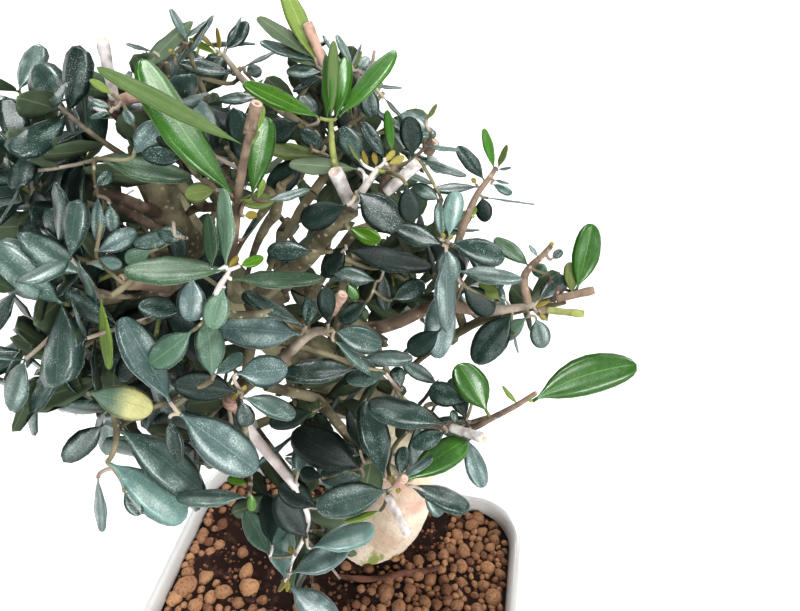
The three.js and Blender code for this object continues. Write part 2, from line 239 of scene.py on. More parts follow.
def massShoot(mass, index, order):
    # the source's own shoot: foot, tip and the way that the tip points
    dice = seededDice(growth["massSeed"] * (index + 1) + order)
    isMiddle = order == mass["shoots"] - 1
    spread = growth["middleSpread"] if isMiddle else growth["spread"] * draw(dice, "spread")
    roll = order / (mass["shoots"] - 1) * 2 * math.pi + index * growth["turn"]
    roll += growth["turnSpread"] * dice()
    around = Matrix.Rotation(roll, 3, mass["towards"]) @ squareTo(mass["towards"])
    lean = math.radians(spread)
    towards = mass["towards"] * math.cos(lean) + around * math.sin(lean)
    share = draw(dice, "reach")
    if mass["reach"]:
        tip = crownPoint(towards, mass["reach"] * share)
    else:
        tip = mass["heart"] + mass["towards"] * growth["strayReach"] * share
        tip += around * (1 if isMiddle else growth["straySpread"])
    footShare = growth["middleFoot"]
    if not isMiddle:
        footShare = growth["firstFoot"] + growth["footSpan"] * (order + dice()) / mass["shoots"]
    foot = mass["stemPath"].at(footShare)
    points = (tip - foot).normalized() + towards * growth["keepOn"] + up * growth["rise"]
    return foot, tip, points.normalized(), dice


masses = planMasses()
for mass in masses:
    mass["stemPath"] = Path(smoothLine([mass["tip"]] + mass["stem"], 12))
print("growth rule:", len(masses), "masses")


# the camera, and what it sees of the crown
camera = {
    "place": Vector((52.9, -125.6, 336.3)), "pitch": 40.7, "turn": 10.97,
    "focal": 662, "width": 800, "height": 611, "sensor": 36, "leftEdge": 84,
    "seenTrunk": (0.87, 0.91, 0.95, 0.98), "seenTrunkWidth": 28, "headroom": 80,
}
ahead = direction(90 + camera["turn"], -camera["pitch"])
aside = direction(camera["turn"], 0)
above = aside.cross(ahead)


def toPixel(point):
    d = point - camera["place"]
    depth = d.dot(ahead)
    scale = camera["focal"] / depth
    return camera["width"] / 2 + d.dot(aside) * scale, camera["height"] / 2 - d.dot(above) * scale, depth


def pixelRay(x, y):
    # from the camera through a pixel, one millimetre deep
    right, down = x - camera["width"] / 2, y - camera["height"] / 2
    return ahead + aside * (right / camera["focal"]) - above * (down / camera["focal"])


def fromPixel(x, y, depth):
    return camera["place"] + pixelRay(x, y) * depth


# the crown's outline in the photo, and the spots inside it where the sky shows (x, y, radius in pixels)
crownOutline = [
    (80, 70), (110, 85), (128, 60), (172, 12), (215, 15), (250, 20), (262, 50), (300, 25), (330, 28),
    (350, 40), (374, 52), (382, 70), (378, 96), (384, 112), (400, 120), (414, 114), (426, 104), (438, 132),
    (430, 152), (468, 168), (492, 172), (480, 190), (492, 215), (470, 235), (500, 238), (530, 262),
    (560, 265), (576, 290), (556, 316), (552, 345), (520, 350), (500, 362), (500, 400), (486, 425),
    (474, 440), (486, 486), (472, 500), (440, 512), (408, 500), (380, 520), (345, 575), (300, 596),
    (262, 570), (240, 530), (236, 512), (190, 520), (105, 505), (80, 520),
]
skyGaps = [
    (105, 130, 11), (135, 187, 8), (199, 184, 11), (104, 216, 5), (121, 222, 7), (196, 215, 6),
    (225, 84, 13), (147, 96, 7), (228, 102, 6), (207, 36, 8), (278, 62, 13), (256, 50, 8), (388, 100, 10),
    (376, 124, 9), (273, 140, 8), (272, 182, 10), (286, 178, 6), (313, 167, 5), (321, 183, 7),
    (292, 205, 11), (267, 214, 8), (271, 230, 9), (282, 217, 7), (305, 228, 9), (268, 250, 9),
    (340, 240, 9), (366, 222, 11), (382, 230, 8), (147, 293, 9), (236, 298, 12), (115, 350, 6),
    (244, 252, 7), (329, 270, 10), (315, 288, 9), (372, 310, 6), (391, 338, 6), (273, 434, 15),
    (262, 422, 9), (254, 448, 8), (352, 426, 8), (341, 440, 8), (359, 440, 7), (387, 372, 6),
    (436, 206, 14), (467, 196, 9), (447, 174, 11), (428, 285, 7), (470, 335, 13), (412, 326, 11),
    (448, 365, 12), (414, 374, 8), (504, 262, 8), (480, 345, 8), (150, 30, 14), (440, 415, 6),
    (475, 404, 6), (205, 505, 5), (100, 60, 14), (234, 78, 9), (214, 86, 7), (289, 84, 6), (104, 118, 8),
    (428, 214, 8), (489, 235, 6), (312, 264, 5), (309, 296, 7), (400, 335, 9), (460, 355, 8), (522, 338, 8),
    (428, 365, 7), (268, 450, 9), (284, 470, 9), (259, 430, 9), (300, 205, 6), (99, 465, 6), (434, 178, 9),
]
seenRules = {
    "gapEdge": 3,  # pixels that grown leaves keep off a gap
    "leafEdge": 5,  # and off a leaf placed by the photo, if they are in front of it
    "inFront": 3,  # millimetres behind such a leaf that still count as in front
    "lineSlack": 2,  # pixels on each side of a line that they may cover
    "stubRoom": 2,  # times its width that is kept free at a cut end
    "linkWeights": (1.5, 0.6, 4),  # what beside, behind and in front cost where a twig looks for wood
    "dip": 1.5,  # how much more than outward a long link arrives from behind
    "twigSpots": (8, 3),  # how finely a grown twig is tested, and from which of its spots on
}
leafMarks = (0.45, 0.75, 0.95)  # shares of a leaf's length where room is asked for

twigs = []  # each with its points, radii and kind
leaves = []  # each with its root, the way it points, its upper face, size, kind, shape and tone
taken = {}  # where leaves lie, by cell, so that they keep clear of each other
seenLeaves = []  # leaves and lines placed by the photo: ends in pixels, depth, half width
footSpots, boughSpots, stemSpots = growth["woodSpots"]
wood = trunkLine[footSpots:]  # where twigs may start
for mass in masses:
    if mass["leaves"] is not None:
        wood += boughPath(mass["leaves"], mass["tip"]).spots(boughSpots)
    wood += mass["stemPath"].spots(stemSpots)


def cellOf(point, size=5):
    return tuple(int(math.floor(c / size)) for c in point)


def isClear(points):
    for point in points:
        x, y, z = cellOf(point)
        for dx in (-1, 0, 1):
            for dy in (-1, 0, 1):
                for dz in (-1, 0, 1):
                    for other in taken.get((x + dx, y + dy, z + dz), ()):
                        if (other - point).length < growth["leafGap"]:
                            return False
    return True


def isInOutline(x, y):
    inside = False
    for (ax, ay), (bx, by) in zip(crownOutline, crownOutline[1:] + crownOutline[:1]):
        if (ay > y) != (by > y) and x < (bx - ax) * (y - ay) / (by - ay) + ax:
            inside = not inside
    return inside


def isInFrame(x, y):
    return camera["leftEdge"] < x < camera["width"] and -camera["headroom"] < y < camera["height"]


def coversSeenLeaf(x, y, depth, edge):
    # whether a point would stand in front of a leaf placed by the photo
    for ax, ay, bx, by, leafDepth, half in seenLeaves:
        if depth > leafDepth + seenRules["inFront"]:
            continue
        dx, dy = bx - ax, by - ay
        t = min(max(((x - ax) * dx + (y - ay) * dy) / max(dx * dx + dy * dy, 1), 0), 1)
        if math.hypot(x - ax - dx * t, y - ay - dy * t) < half + edge:
            return True
    return False


def isInSky(x, y, edge):
    return any(math.hypot(x - gx, y - gy) < radius + edge for gx, gy, radius in skyGaps)


def isSpoilt(point, leafEdge, gapEdge):
    # grown leaves keep out of the photo's sky and from before its own leaves
    x, y, depth = toPixel(point)
    if not isInFrame(x, y):
        return False
    return not isInOutline(x, y) or coversSeenLeaf(x, y, depth, leafEdge) or isInSky(x, y, gapEdge)


def addLeaf(root, along, face, length, width, kind, dice, isSeen=False, sweep=0, isFlat=False):
    for share in leafMarks:
        mark = root + along * length * share
        taken.setdefault(cellOf(mark), []).append(mark)
    shape, tone = int(dice() * growth["shapeNumbers"]), dice()
    leaves.append({
        "root": root, "along": along, "face": face, "length": length, "width": width, "kind": kind,
        "shape": flatShape if isFlat else shape, "tone": tone, "isSeen": isSeen, "sweep": sweep,
    })


def addTwig(path, foot, tip, kind, steps=8):
    points = path.spots(steps)
    radii = [foot + (tip - foot) * (i / steps) for i in range(steps + 1)]
    twigs.append({"points": points, "radii": radii, "kind": kind})
    wood.extend(points)


def growTowards(end, outward, foot, tip, kind, nearest=1.2, longest=40):
    # a twig from the nearest wood, rather behind than beside, that arrives the way it should point; one
    # over the longest has the darker bark, partly painted shade, and dips behind the leaves
    besideWeight, behindWeight, frontWeight = seenRules["linkWeights"]

    def cost(point):
        gap = point - end
        behind = gap.dot(ahead)
        beside = (gap - ahead * behind).length
        return beside * besideWeight + (behind * behindWeight if behind > 0 else -behind * frontWeight)
    start = min(wood, key=cost)
    reach = (end - start).length
    if reach > longest:
        outward = (outward - ahead * seenRules["dip"]).normalized()
        kind = "bark"
    if reach > nearest:
        addTwig(archedPath(start, end, outward, growth["linkSteps"]), foot, tip, kind)


# Shoots that the photo shows. Depth is millimetres from the camera. A line is x, y, depth in pixels and
# millimetres, from foot to tip, with its width in pixels; one without a line grows from the wood behind
# its node. A leaf is kind, base x, y, tip x, y, width in pixels, then where they aren't the usual ones
# its lean away from the camera in degrees and its sideways sweep. A kind that starts with under shows
# its lower side.
photoShoots = {
    "topLeftTwig": {"depth": 168, "node": (186, 44), "leaves": [
        ("grey", 188, 42, 172, 9, 7), ("under_olive", 142, 72, 192, 24, 19),
        ("grey", 178, 64, 211, 15, 11), ("grey", 182, 40, 206, 20, 6), ("dark", 153, 52, 127, 43, 3),
        ("gold", 176, 54, 168, 50, 5)]},
    "topLeftRosette": {"depth": 170, "width": 8,
        "line": [(285, 113, 172), (262, 96, 171), (243, 80, 170), (232, 66, 170), (223, 54, 170)],
        "leaves": [
        ("dark", 226, 50, 247, 22, 17), ("grey", 224, 50, 240, 17, 6), ("gold", 220, 52, 216, 28, 6),
        ("gold", 216, 50, 199, 32, 4), ("lime", 218, 55, 190, 38, 6), ("grey", 226, 56, 208, 55, 5)]},
    "topLeftBack": {"depth": 174, "node": (238, 74), "leaves": [
        ("dark", 232, 74, 181, 62, 14), ("dark", 184, 64, 204, 56, 5), ("dark", 244, 67, 283, 46, 6),
        ("grey", 246, 73, 261, 68, 15, 55), ("grey", 262, 97, 220, 98, 10), ("gold", 234, 76, 240, 66, 4)]},
    "topLight": {"depth": 166, "node": (316, 62), "leaves": [
        ("lime", 316, 62, 284, -14, 18), ("under_grey", 314, 58, 258, 20, 11),
        ("grey", 314, 61, 262, 40, 9), ("under_grey", 316, 66, 284, 50, 12),
        ("grey", 322, 72, 287, 71, 15), ("grey", 323, 78, 299, 80, 12), ("dark", 320, 78, 293, 90, 5)]},
    "brightShoot": {"depth": 146, "wood": "green", "width": 8,
        "line": [(335, 168, 152), (332, 145, 149), (331, 120, 146)], "leaves": [
        ("vivid", 320, 118, 245, 82, 17), ("young", 327, 118, 325, 56, 13, -12),
        ("limeDeep", 331, 119, 333, 44, 12, -20), ("young", 336, 118, 342, 57, 19, 20),
        ("young", 339, 117, 391, 48, 23)]},
    "topBud": {"depth": 164, "node": (352, 72), "leaves": [
        ("grey", 352, 66, 338, 35, 7), ("olive", 353, 71, 361, 51, 5), ("gold", 350, 72, 348, 60, 5),
        ("grey", 357, 70, 369, 56, 12, 40), ("dark", 368, 86, 372, 116, 20),
        ("grey", 374, 86, 402, 87, 5), ("dark", 384, 98, 404, 118, 6)]},
    "topRightYoung": {"depth": 156, "node": (392, 152), "leaves": [("young", 392, 152, 388, 111, 10)]},
    "roundLeaves": {"depth": 150, "wood": "lilac", "width": 9,
        "line": [(352, 206, 154), (364, 188, 152), (378, 168, 150)], "leaves": [
        ("grey", 360, 160, 343, 126, 33), ("dark", 384, 158, 363, 122, 14),
        ("olive", 366, 168, 351, 145, 5), ("gold", 368, 166, 364, 150, 7),
        ("gold", 376, 166, 374, 152, 7), ("gold", 384, 162, 394, 150, 7), ("gold", 388, 164, 404, 157, 8),
        ("lime", 380, 172, 366, 178, 5), ("lime", 386, 172, 398, 176, 6),
        ("under_grey", 358, 169, 291, 166, 14)]},
    "rightOfTop": {"depth": 160, "node": (414, 158), "leaves": [
        ("shade", 412, 157, 409, 118, 24), ("grey", 430, 132, 401, 113, 26),
        ("olive", 427, 120, 436, 104, 6), ("grey", 420, 160, 466, 174, 12),
        ("grey", 390, 165, 432, 182, 10), ("grey", 426, 146, 459, 149, 7),
        ("grey", 440, 200, 414, 184, 16)]},
    "rightTop": {"depth": 200, "wood": "brown", "width": 8,
        "line": [(460, 236, 200), (469, 212, 200), (478, 193, 200), (490, 177, 200), (496, 168, 201)],
        "leaves": [
        ("dark", 484, 180, 458, 148, 18), ("young", 494, 169, 485, 129, 9),
        ("olive", 498, 168, 506, 145, 8), ("grey", 498, 170, 511, 167, 4),
        ("grey", 494, 180, 509, 183, 4), ("grey", 492, 184, 513, 191, 8), ("dark", 478, 187, 434, 188, 9),
        ("shade", 482, 197, 486, 222, 17), ("lime", 474, 216, 474, 204, 8),
        ("grey", 488, 198, 534, 203, 3), ("gold", 476, 184, 472, 178, 6)]},
    "goldenRosette": {"depth": 158, "node": (447, 242), "leaves": [
        ("silver", 449, 237, 452, 190, 21), ("grey", 441, 238, 442, 203, 14),
        ("dark", 450, 243, 506, 255, 26), ("dark", 442, 245, 396, 227, 23),
        ("grey", 446, 247, 450, 285, 27), ("pale", 446, 252, 450, 330, 27, 22),
        ("gold", 444, 240, 443, 233, 5), ("gold", 449, 241, 452, 234, 5), ("gold", 447, 243, 447, 250, 5)]},
    "behindRosette": {"depth": 168, "node": (456, 272), "leaves": [
        ("pale", 447, 276, 447, 358, 30), ("grey", 458, 271, 521, 277, 20),
        ("shade", 462, 285, 494, 314, 25), ("olive", 500, 300, 480, 283, 15)]},
    "behindCentre": {"depth": 166, "node": (380, 268), "leaves": [
        ("shade", 346, 250, 430, 264, 28), ("shade", 383, 272, 385, 309, 18),
        ("shade", 440, 330, 407, 352, 24), ("shade", 345, 246, 322, 276, 24),
        ("grey", 376, 281, 334, 272, 20), ("young", 348, 284, 357, 300, 13),
        ("dark", 366, 302, 338, 320, 21), ("dark", 392, 300, 424, 282, 22)]},
    "vividLeaf": {"depth": 156, "node": (349, 228), "leaves": [("vivid", 350, 228, 380, 241, 17, -15)]},
    "bigGreyGreen": {"depth": 142, "node": (357, 192), "leaves": [
        ("dark", 358, 192, 400, 229, 36), ("shade", 406, 185, 412, 222, 24),
        ("shade", 347, 205, 299, 221, 28)]},
    "rightNode": {"depth": 186, "width": 10,
        "line": [(486, 312, 190), (508, 309, 188), (535, 305, 186)], "leaves": [
        ("dark", 512, 314, 475, 362, 34), ("soft", 527, 317, 498, 338, 18),
        ("grey", 536, 318, 544, 348, 23), ("dark", 538, 301, 566, 276, 21),
        ("soft", 549, 275, 532, 267, 17, 35), ("young", 577, 289, 591, 226, 28),
        ("olive", 572, 294, 571, 262, 15), ("moss", 529, 266, 496, 238, 15),
        ("grey", 507, 302, 486, 279, 15), ("grey", 514, 335, 519, 353, 4),
        ("gold", 534, 308, 548, 299, 7), ("gold", 534, 309, 528, 299, 6), ("gold", 538, 312, 546, 320, 6),
        ("gold", 536, 308, 552, 310, 7)]},
    "rightUpward": {"depth": 186, "wood": "brown", "width": 9,
        "line": [(528, 304, 187), (524, 278, 186), (531, 266, 186), (541, 257, 186), (551, 246, 186)],
        "leaves": [
        ("dark", 552, 259, 562, 250, 9), ("grey", 538, 257, 530, 245, 4), ("gold", 549, 248, 553, 242, 5)]},
    "lowRight": {"depth": 170, "wood": "brown", "width": 8,
        "line": [(424, 424, 182), (452, 428, 176), (474, 427, 173), (490, 419, 170), (517, 405, 166),
        (536, 393, 163)], "leaves": [
        ("young", 533, 401, 635, 364, 40, 15, 1), ("young", 487, 412, 459, 366, 34),
        ("lime", 517, 404, 504, 385, 7), ("shade", 466, 420, 452, 378, 21),
        ("dark", 470, 400, 428, 388, 25), ("grey", 438, 385, 404, 362, 14),
        ("pale", 467, 438, 482, 486, 21), ("gold", 446, 427, 440, 424, 6),
        ("soft", 455, 423, 453, 410, 9)]},
    "lowRosette": {"depth": 164, "node": (394, 486), "leaves": [
        ("grey", 388, 490, 316, 506, 35), ("dark", 384, 478, 371, 400, 35),
        ("young", 407, 481, 466, 437, 34), ("dark", 408, 486, 471, 499, 23),
        ("pale", 424, 492, 444, 514, 24), ("pale", 403, 478, 430, 454, 13),
        ("gold", 394, 485, 390, 476, 6), ("gold", 396, 486, 400, 493, 6), ("gold", 392, 487, 386, 494, 5),
        ("lime", 380, 511, 344, 519, 11), ("dark", 400, 476, 404, 446, 16)]},
    "middleLeaf": {"depth": 154, "node": (443, 426), "leaves": [
        ("dark", 443, 425, 370, 396, 36), ("dark", 446, 432, 412, 446, 20)]},
    "centre": {"depth": 148, "width": 13,
        "line": [(266, 370, 158), (290, 352, 153), (305, 338, 151), (318, 331, 149), (327, 332, 148)],
        "leaves": [
        ("shade", 328, 324, 325, 287, 19), ("grey", 334, 331, 382, 345, 29),
        ("grey", 334, 341, 382, 366, 24, 25), ("gold", 326, 334, 321, 327, 6),
        ("gold", 328, 335, 332, 327, 6), ("gold", 327, 334, 335, 337, 5)]},
    "leftOfCentre": {"depth": 146, "node": (303, 329), "leaves": [
        ("grey", 303, 326, 252, 286, 23), ("dark", 306, 326, 310, 299, 16),
        ("pale", 300, 334, 221, 328, 39), ("dark", 272, 312, 246, 288, 15),
        ("dark", 312, 251, 267, 250, 22)]},
    "leftNode": {"depth": 132, "wood": "lilac", "width": 8,
        "line": [(216, 296, 134), (220, 286, 133), (227, 275, 132)], "leaves": [
        ("moss", 228, 270, 126, 268, 24), ("moss", 232, 279, 321, 275, 23),
        ("soft", 226, 266, 220, 190, 22), ("moss", 212, 269, 206, 216, 18),
        ("pale", 192, 276, 188, 322, 31), ("soft", 224, 288, 212, 327, 36),
        ("gold", 228, 269, 238, 256, 8), ("vivid", 240, 266, 263, 257, 12)]},
    "lowerLeftMiddle": {"depth": 138, "node": (212, 380), "leaves": [
        ("soft", 212, 378, 207, 325, 30), ("grey", 215, 375, 242, 353, 17),
        ("shade", 237, 392, 177, 384, 32)]},
    "lowerMiddle": {"depth": 140, "node": (240, 393), "leaves": [
        ("grey", 243, 398, 298, 410, 26), ("dark", 241, 400, 246, 428, 20),
        ("pale", 237, 374, 288, 368, 37), ("gold", 240, 392, 246, 386, 5),
        ("gold", 239, 394, 232, 398, 5)]},
    "speckled": {"depth": 152, "node": (358, 367), "leaves": [
        ("dark", 357, 369, 286, 375, 30), ("grey", 361, 358, 412, 354, 20),
        ("grey", 386, 374, 346, 378, 21), ("dark", 402, 388, 396, 366, 16),
        ("gold", 358, 366, 364, 363, 5)]},
    "leftPair": {"depth": 134, "node": (174, 407), "leaves": [
        ("pale", 170, 402, 125, 318, 38), ("soft", 192, 331, 148, 364, 32),
        ("pale", 180, 414, 258, 469, 47), ("dark", 170, 418, 177, 463, 15),
        ("gold", 173, 406, 180, 415, 9)]},
    "bigDark": {"depth": 140, "node": (117, 429), "leaves": [("grey", 119, 430, 207, 487, 49)]},
    "bottomLeft": {"depth": 138, "node": (107, 462), "leaves": [
        ("silver", 109, 463, 192, 509, 38), ("dark", 124, 491, 140, 514, 15),
        ("pale", 98, 478, 100, 531, 9)]},
    "turningLeaf": {"depth": 128, "node": (88, 394), "leaves": [("turning", 88, 393, 154, 409, 35)]},
    "limeEdge": {"depth": 136, "node": (102, 296), "leaves": [("lime", 101, 298, 107, 368, 9)]},
    "lowerPair": {"depth": 144, "node": (249, 496), "leaves": [
        ("grey", 247, 497, 178, 488, 26), ("vivid", 248, 483, 227, 478, 9),
        ("vivid", 250, 492, 252, 512, 10)]},
    "hanging": {"depth": 206, "wood": "lilac", "front": 5, "width": 6,
        "line": [(290, 480, 193), (302, 500, 196), (308, 520, 201), (302, 542, 205), (292, 561, 208),
        (288, 578, 209)], "leaves": [
        ("shade", 316, 507, 279, 486, 28, -20), ("shade", 306, 538, 279, 496, 34, -15),
        ("silver", 285, 580, 272, 514, 30), ("soft", 270, 556, 246, 511, 24),
        ("shade", 272, 545, 262, 495, 22), ("pale", 292, 573, 348, 545, 29),
        ("silver", 311, 548, 372, 521, 26), ("pale", 290, 586, 340, 628, 32),
        ("gold", 288, 578, 277, 591, 7), ("gold", 288, 578, 286, 592, 6), ("gold", 293, 555, 290, 546, 6),
        ("gold", 306, 545, 305, 533, 6)]},
    "brownStem": {"depth": 134, "wood": "brown", "width": 12,
        "line": [(228, 270, 150), (233, 240, 146), (238, 195, 139), (246, 150, 131), (256, 105, 124)],
        "leaves": [
        ("young", 235, 197, 149, 58, 42, 15, 1), ("limeDeep", 243, 145, 102, 69, 15, -12),
        ("young", 252, 197, 263, 116, 27), ("olive", 236, 202, 273, 200, 17),
        ("grey", 268, 201, 308, 188, 12), ("gold", 244, 216, 257, 214, 11),
        ("lime", 258, 131, 262, 106, 8), ("lime", 257, 199, 264, 180, 7), ("dark", 244, 238, 256, 218, 7)]},
    "leftRow": {"depth": 138, "node": (150, 252), "leaves": [
        ("pale", 96, 252, 135, 232, 21), ("silver", 88, 264, 123, 262, 17),
        ("soft", 152, 250, 124, 261, 19), ("grey", 175, 236, 133, 243, 20),
        ("shade", 174, 224, 181, 259, 20), ("dark", 182, 312, 140, 306, 24),
        ("dark", 186, 238, 158, 232, 27), ("pale", 98, 196, 96, 240, 12),
        ("grey", 110, 204, 112, 232, 16)]},
    "leftTop": {"depth": 138, "node": (184, 158), "leaves": [
        ("moss", 96, 158, 190, 174, 34), ("pale", 134, 154, 157, 123, 27, -10),
        ("dark", 184, 158, 143, 154, 21), ("shade", 184, 150, 157, 131, 20),
        ("shade", 189, 144, 169, 117, 19), ("grey", 134, 127, 125, 109, 15),
        ("olive", 216, 190, 186, 195, 21), ("dark", 96, 186, 112, 172, 14), ("lime", 112, 94, 90, 80, 9),
        ("grey", 112, 108, 92, 99, 9), ("grey", 110, 112, 90, 117, 5)]},
    "underTop": {"depth": 158, "node": (312, 150), "leaves": [
        ("olive", 327, 156, 264, 146, 13), ("shade", 304, 158, 268, 192, 28),
        ("shade", 300, 122, 262, 136, 32), ("dark", 318, 118, 300, 96, 20),
        ("dark", 324, 146, 300, 132, 20)]},
    "lowInside": {"depth": 172, "node": (362, 470), "leaves": [
        ("grey", 362, 476, 320, 475, 29), ("shade", 360, 468, 293, 431, 42),
        ("shade", 312, 412, 270, 424, 22), ("shade", 322, 478, 300, 470, 15),
        ("shade", 360, 450, 352, 410, 16)]},
}

# Limbs and bare twigs that show between the leaves, in the same measures as the lines above.
photoLimbs = {
    "trunkEnd": {"wood": "bark", "width": 35, "line": [
        (184, 240, 196), (172, 220, 184), (163, 197, 177), (157, 174, 173)]},
    "leftLimb": {"wood": "brown", "width": 13, "line": [
        (165, 214, 180), (148, 210, 172), (126, 200, 166), (94, 190, 162)]},
    "leftLower": {"wood": "brown", "width": 11, "line": [
        (172, 234, 187), (153, 226, 172), (138, 217, 165), (118, 206, 160)]},
    "middleLimb": {"wood": "bark", "width": 20, "line": [
        (252, 302, 186), (282, 278, 178), (305, 260, 172), (320, 242, 166), (334, 224, 160),
        (352, 210, 155)]},
    "tanLimb": {"wood": "bark", "width": 12, "line": [
        (404, 478, 216), (382, 464, 209), (358, 446, 202), (338, 424, 196), (318, 400, 190),
        (290, 392, 184), (266, 386, 178)]},
    "pinkTwig": {"wood": "brown", "width": 8, "line": [
        (217, 192, 160), (200, 176, 156), (184, 158, 152), (168, 136, 148), (154, 113, 144)]},
    "rightLimb": {"wood": "brown", "width": 13, "line": [
        (398, 322, 200), (438, 306, 194), (486, 312, 190)]},
    "hangingStem": {"wood": "lilac", "width": 11, "line": [
        (236, 408, 186), (250, 431, 187), (273, 459, 190), (296, 487, 193)]},
    "pinkStem": {"wood": "pink", "width": 14, "line": [(240, 412, 180), (228, 402, 168), (238, 394, 144)]},
}

# Cut ends: x, y, depth of the foot and of the cut, the width in pixels and the kind of bark.
photoStubs = {
    "topLeftPale": ((114, 98, 150), (102, 39, 140), 13, "lilac"),
    "topLeftPink": ((112, 103, 152), (144, 94, 146), 14, "pink"),
    "topLeftSmall": ((150, 114, 152), (166, 104, 146), 14, "pink"),
    "topPink": ((324, 66, 168), (307, 23, 162), 12, "pink"),
    "brownTop": ((250, 128, 128), (257, 103, 124), 14, "brown"),
    "upright": ((352, 207, 156), (335, 171, 148), 16, "lilac"),
    "besideUpright": ((386, 192, 160), (418, 163, 156), 13, "lilac"),
    "leftRound": ((168, 286, 152), (120, 281, 142), 17, "brown"),
    "centrePink": ((332, 312, 160), (343, 294, 156), 12, "pink"),
    "rightOlive": ((546, 310, 186), (584, 314, 184), 8, "green"),
    "rightBrown": ((556, 299, 187), (594, 290, 185), 9, "brown"),
    "lowRightPale": ((452, 428, 172), (484, 438, 164), 11, "lilac"),
    "lowPale": ((388, 496, 164), (409, 536, 158), 10, "lilac"),
    "lowSmall": ((396, 485, 163), (405, 478, 160), 9, "pink"),
    "rightTopSmall": ((430, 150, 164), (434, 142, 162), 12, "brown"),
}

seenLook = {
    "lean": 15, "usualWidth": 0.46, "widest": 0.66, "longer": 1.03,  # widths are shares of the length
    "slim": {"young": 0.34, "vivid": 0.34, "lime": 0.34, "limeDeep": 0.16},
    "turned": 0.75, "extraTurn": 0.15, "seed": 41, "limbDepth": 190, "rise": 0.3, "back": 0.2,
    # times the radius that the photo shows
    "linkEnds": (1.2, 1.05), "shootEnds": (1.1, 0.62), "limbEnds": (1.12, 0.85), "stubLink": 0.95,
    "petiole": (0.7, 5),  # least length, and the longest before it dips
    "lineSteps": 6, "limbSteps": 6, "shootSteps": 5,  # points between two spots, rings for each spot
}
flatShape = 2  # of the blade shapes, the one that bends least


def seenLeaf(entry, depth, dice):
    # a leaf laid so that the camera sees it as the photo does
    kind, baseX, baseY, tipX, tipY, seenWidth, *unusual = entry
    lean = unusual[0] if unusual else seenLook["lean"]
    sweep = unusual[1] if len(unusual) > 1 else 0
    isUnder = kind.startswith("under_")
    kind = kind.removeprefix("under_")
    root = fromPixel(baseX, baseY, depth)
    ray = pixelRay(tipX, tipY).normalized()
    beside = camera["place"] + ray * (root - camera["place"]).dot(ray)
    gap = (beside - root).length
    tip = beside + ray * gap * math.tan(math.radians(lean))
    along = tip - root
    length = along.length
    along.normalize()
    back = (camera["place"] - root.lerp(tip, 0.5)).normalized()
    front = (back - along * back.dot(along)).normalized()
    side = along.cross(front)
    seen = seenWidth * depth / camera["focal"]
    usual = length * seenLook["slim"].get(kind, seenLook["usualWidth"])
    roll = math.acos(min(seen / usual, 1))
    isFlat = roll > seenLook["turned"]  # one seen nearly from its edge bends little, or its tip would stray
    if not isFlat:
        roll += seenLook["extraTurn"]
    if side.z < 0:
        roll = -roll  # the upper face turns to the sky
    face = front * math.cos(roll) + side * math.sin(roll)
    if isUnder:
        face = -face
    width = min(max(seen, usual), length * seenLook["widest"])
    addLeaf(root, along, face, length * seenLook["longer"], width, kind, dice, True, sweep, isFlat)
    _, _, tipDepth = toPixel(tip)
    seenLeaves.append((baseX, baseY, tipX, tipY, (depth + tipDepth) / 2, seenWidth / 2))
    return root, along


def lineRadius(width, depth):
    return width / 2 * depth / camera["focal"]


def keepInView(spots, width):
    # grown leaves stay out of the way of this line too
    for (ax, ay, aDepth), (bx, by, bDepth) in zip(spots, spots[1:]):
        seenLeaves.append((ax, ay, bx, by, min(aDepth, bDepth), width / 2 - seenRules["lineSlack"]))


def growSeenLine(line, width, linkEnds, ends, linkKind, kind, steps):
    # a line of the photo, linked to the wood behind its foot
    points = [fromPixel(*spot) for spot in line]
    keepInView(line, width)
    growTowards(points[0], (points[1] - points[0]).normalized(), *linkEnds, linkKind)
    addTwig(Path(smoothLine(points, seenLook["lineSteps"])), *ends, kind, steps * len(points))


def growSeenLimbs():
    for limb in photoLimbs.values():
        line, width, kind = limb["line"], limb["width"], limb["wood"]
        foot = lineRadius(width, seenLook["limbDepth"]) * seenLook["linkEnds"][0]
        ends = [lineRadius(width, line[-1][2]) * share for share in seenLook["limbEnds"]]
        linkEnds = foot, lineRadius(width, line[0][2])
        growSeenLine(line, width, linkEnds, ends, kind, kind, seenLook["limbSteps"])


def growSeenShoots():
    dice = seededDice(seenLook["seed"])
    for shoot in photoShoots.values():
        kind, depth = shoot.get("wood", "grey"), shoot["depth"]
        line = shoot.get("line")
        if line:
            radius = lineRadius(shoot["width"], depth)
            linkEnds = [radius * share for share in seenLook["linkEnds"]]
            ends = [radius * share for share in seenLook["shootEnds"]]
            growSeenLine(line, shoot["width"], linkEnds, ends, "bark", kind, seenLook["shootSteps"])
        else:
            node = fromPixel(*shoot["node"], depth)
            outward = (node - crown["centre"]).normalized()
            outward = outward + up * seenLook["rise"] - ahead * seenLook["back"]
            growTowards(node, outward.normalized(), *twigEnds["link"], "bark")
        for entry in shoot["leaves"]:
            if line:
                # a leaf on a long shoot takes its depth from the nearest point of the line
                nearestSpot = min(line, key=lambda s: math.hypot(s[0] - entry[1], s[1] - entry[2]))
                depth = nearestSpot[2] - shoot.get("front", 0)
            root, along = seenLeaf(entry, depth, dice)
            petiole = "green" if entry[0] in ("young", "lime") else kind
            growTowards(root, along, *twigEnds["petiole"], petiole, *seenLook["petiole"])


stubs = []


def growSeenStubs():
    for foot, end, width, kind in photoStubs.values():
        keepInView([foot, end], width * seenRules["stubRoom"])
        start, finish = fromPixel(*foot), fromPixel(*end)
        radius = lineRadius(width, end[2])
        growTowards(start, (finish - start).normalized(), radius, radius * seenLook["stubLink"], "brown")
        stubs.append({"start": start, "finish": finish, "radius": radius, "kind": kind})


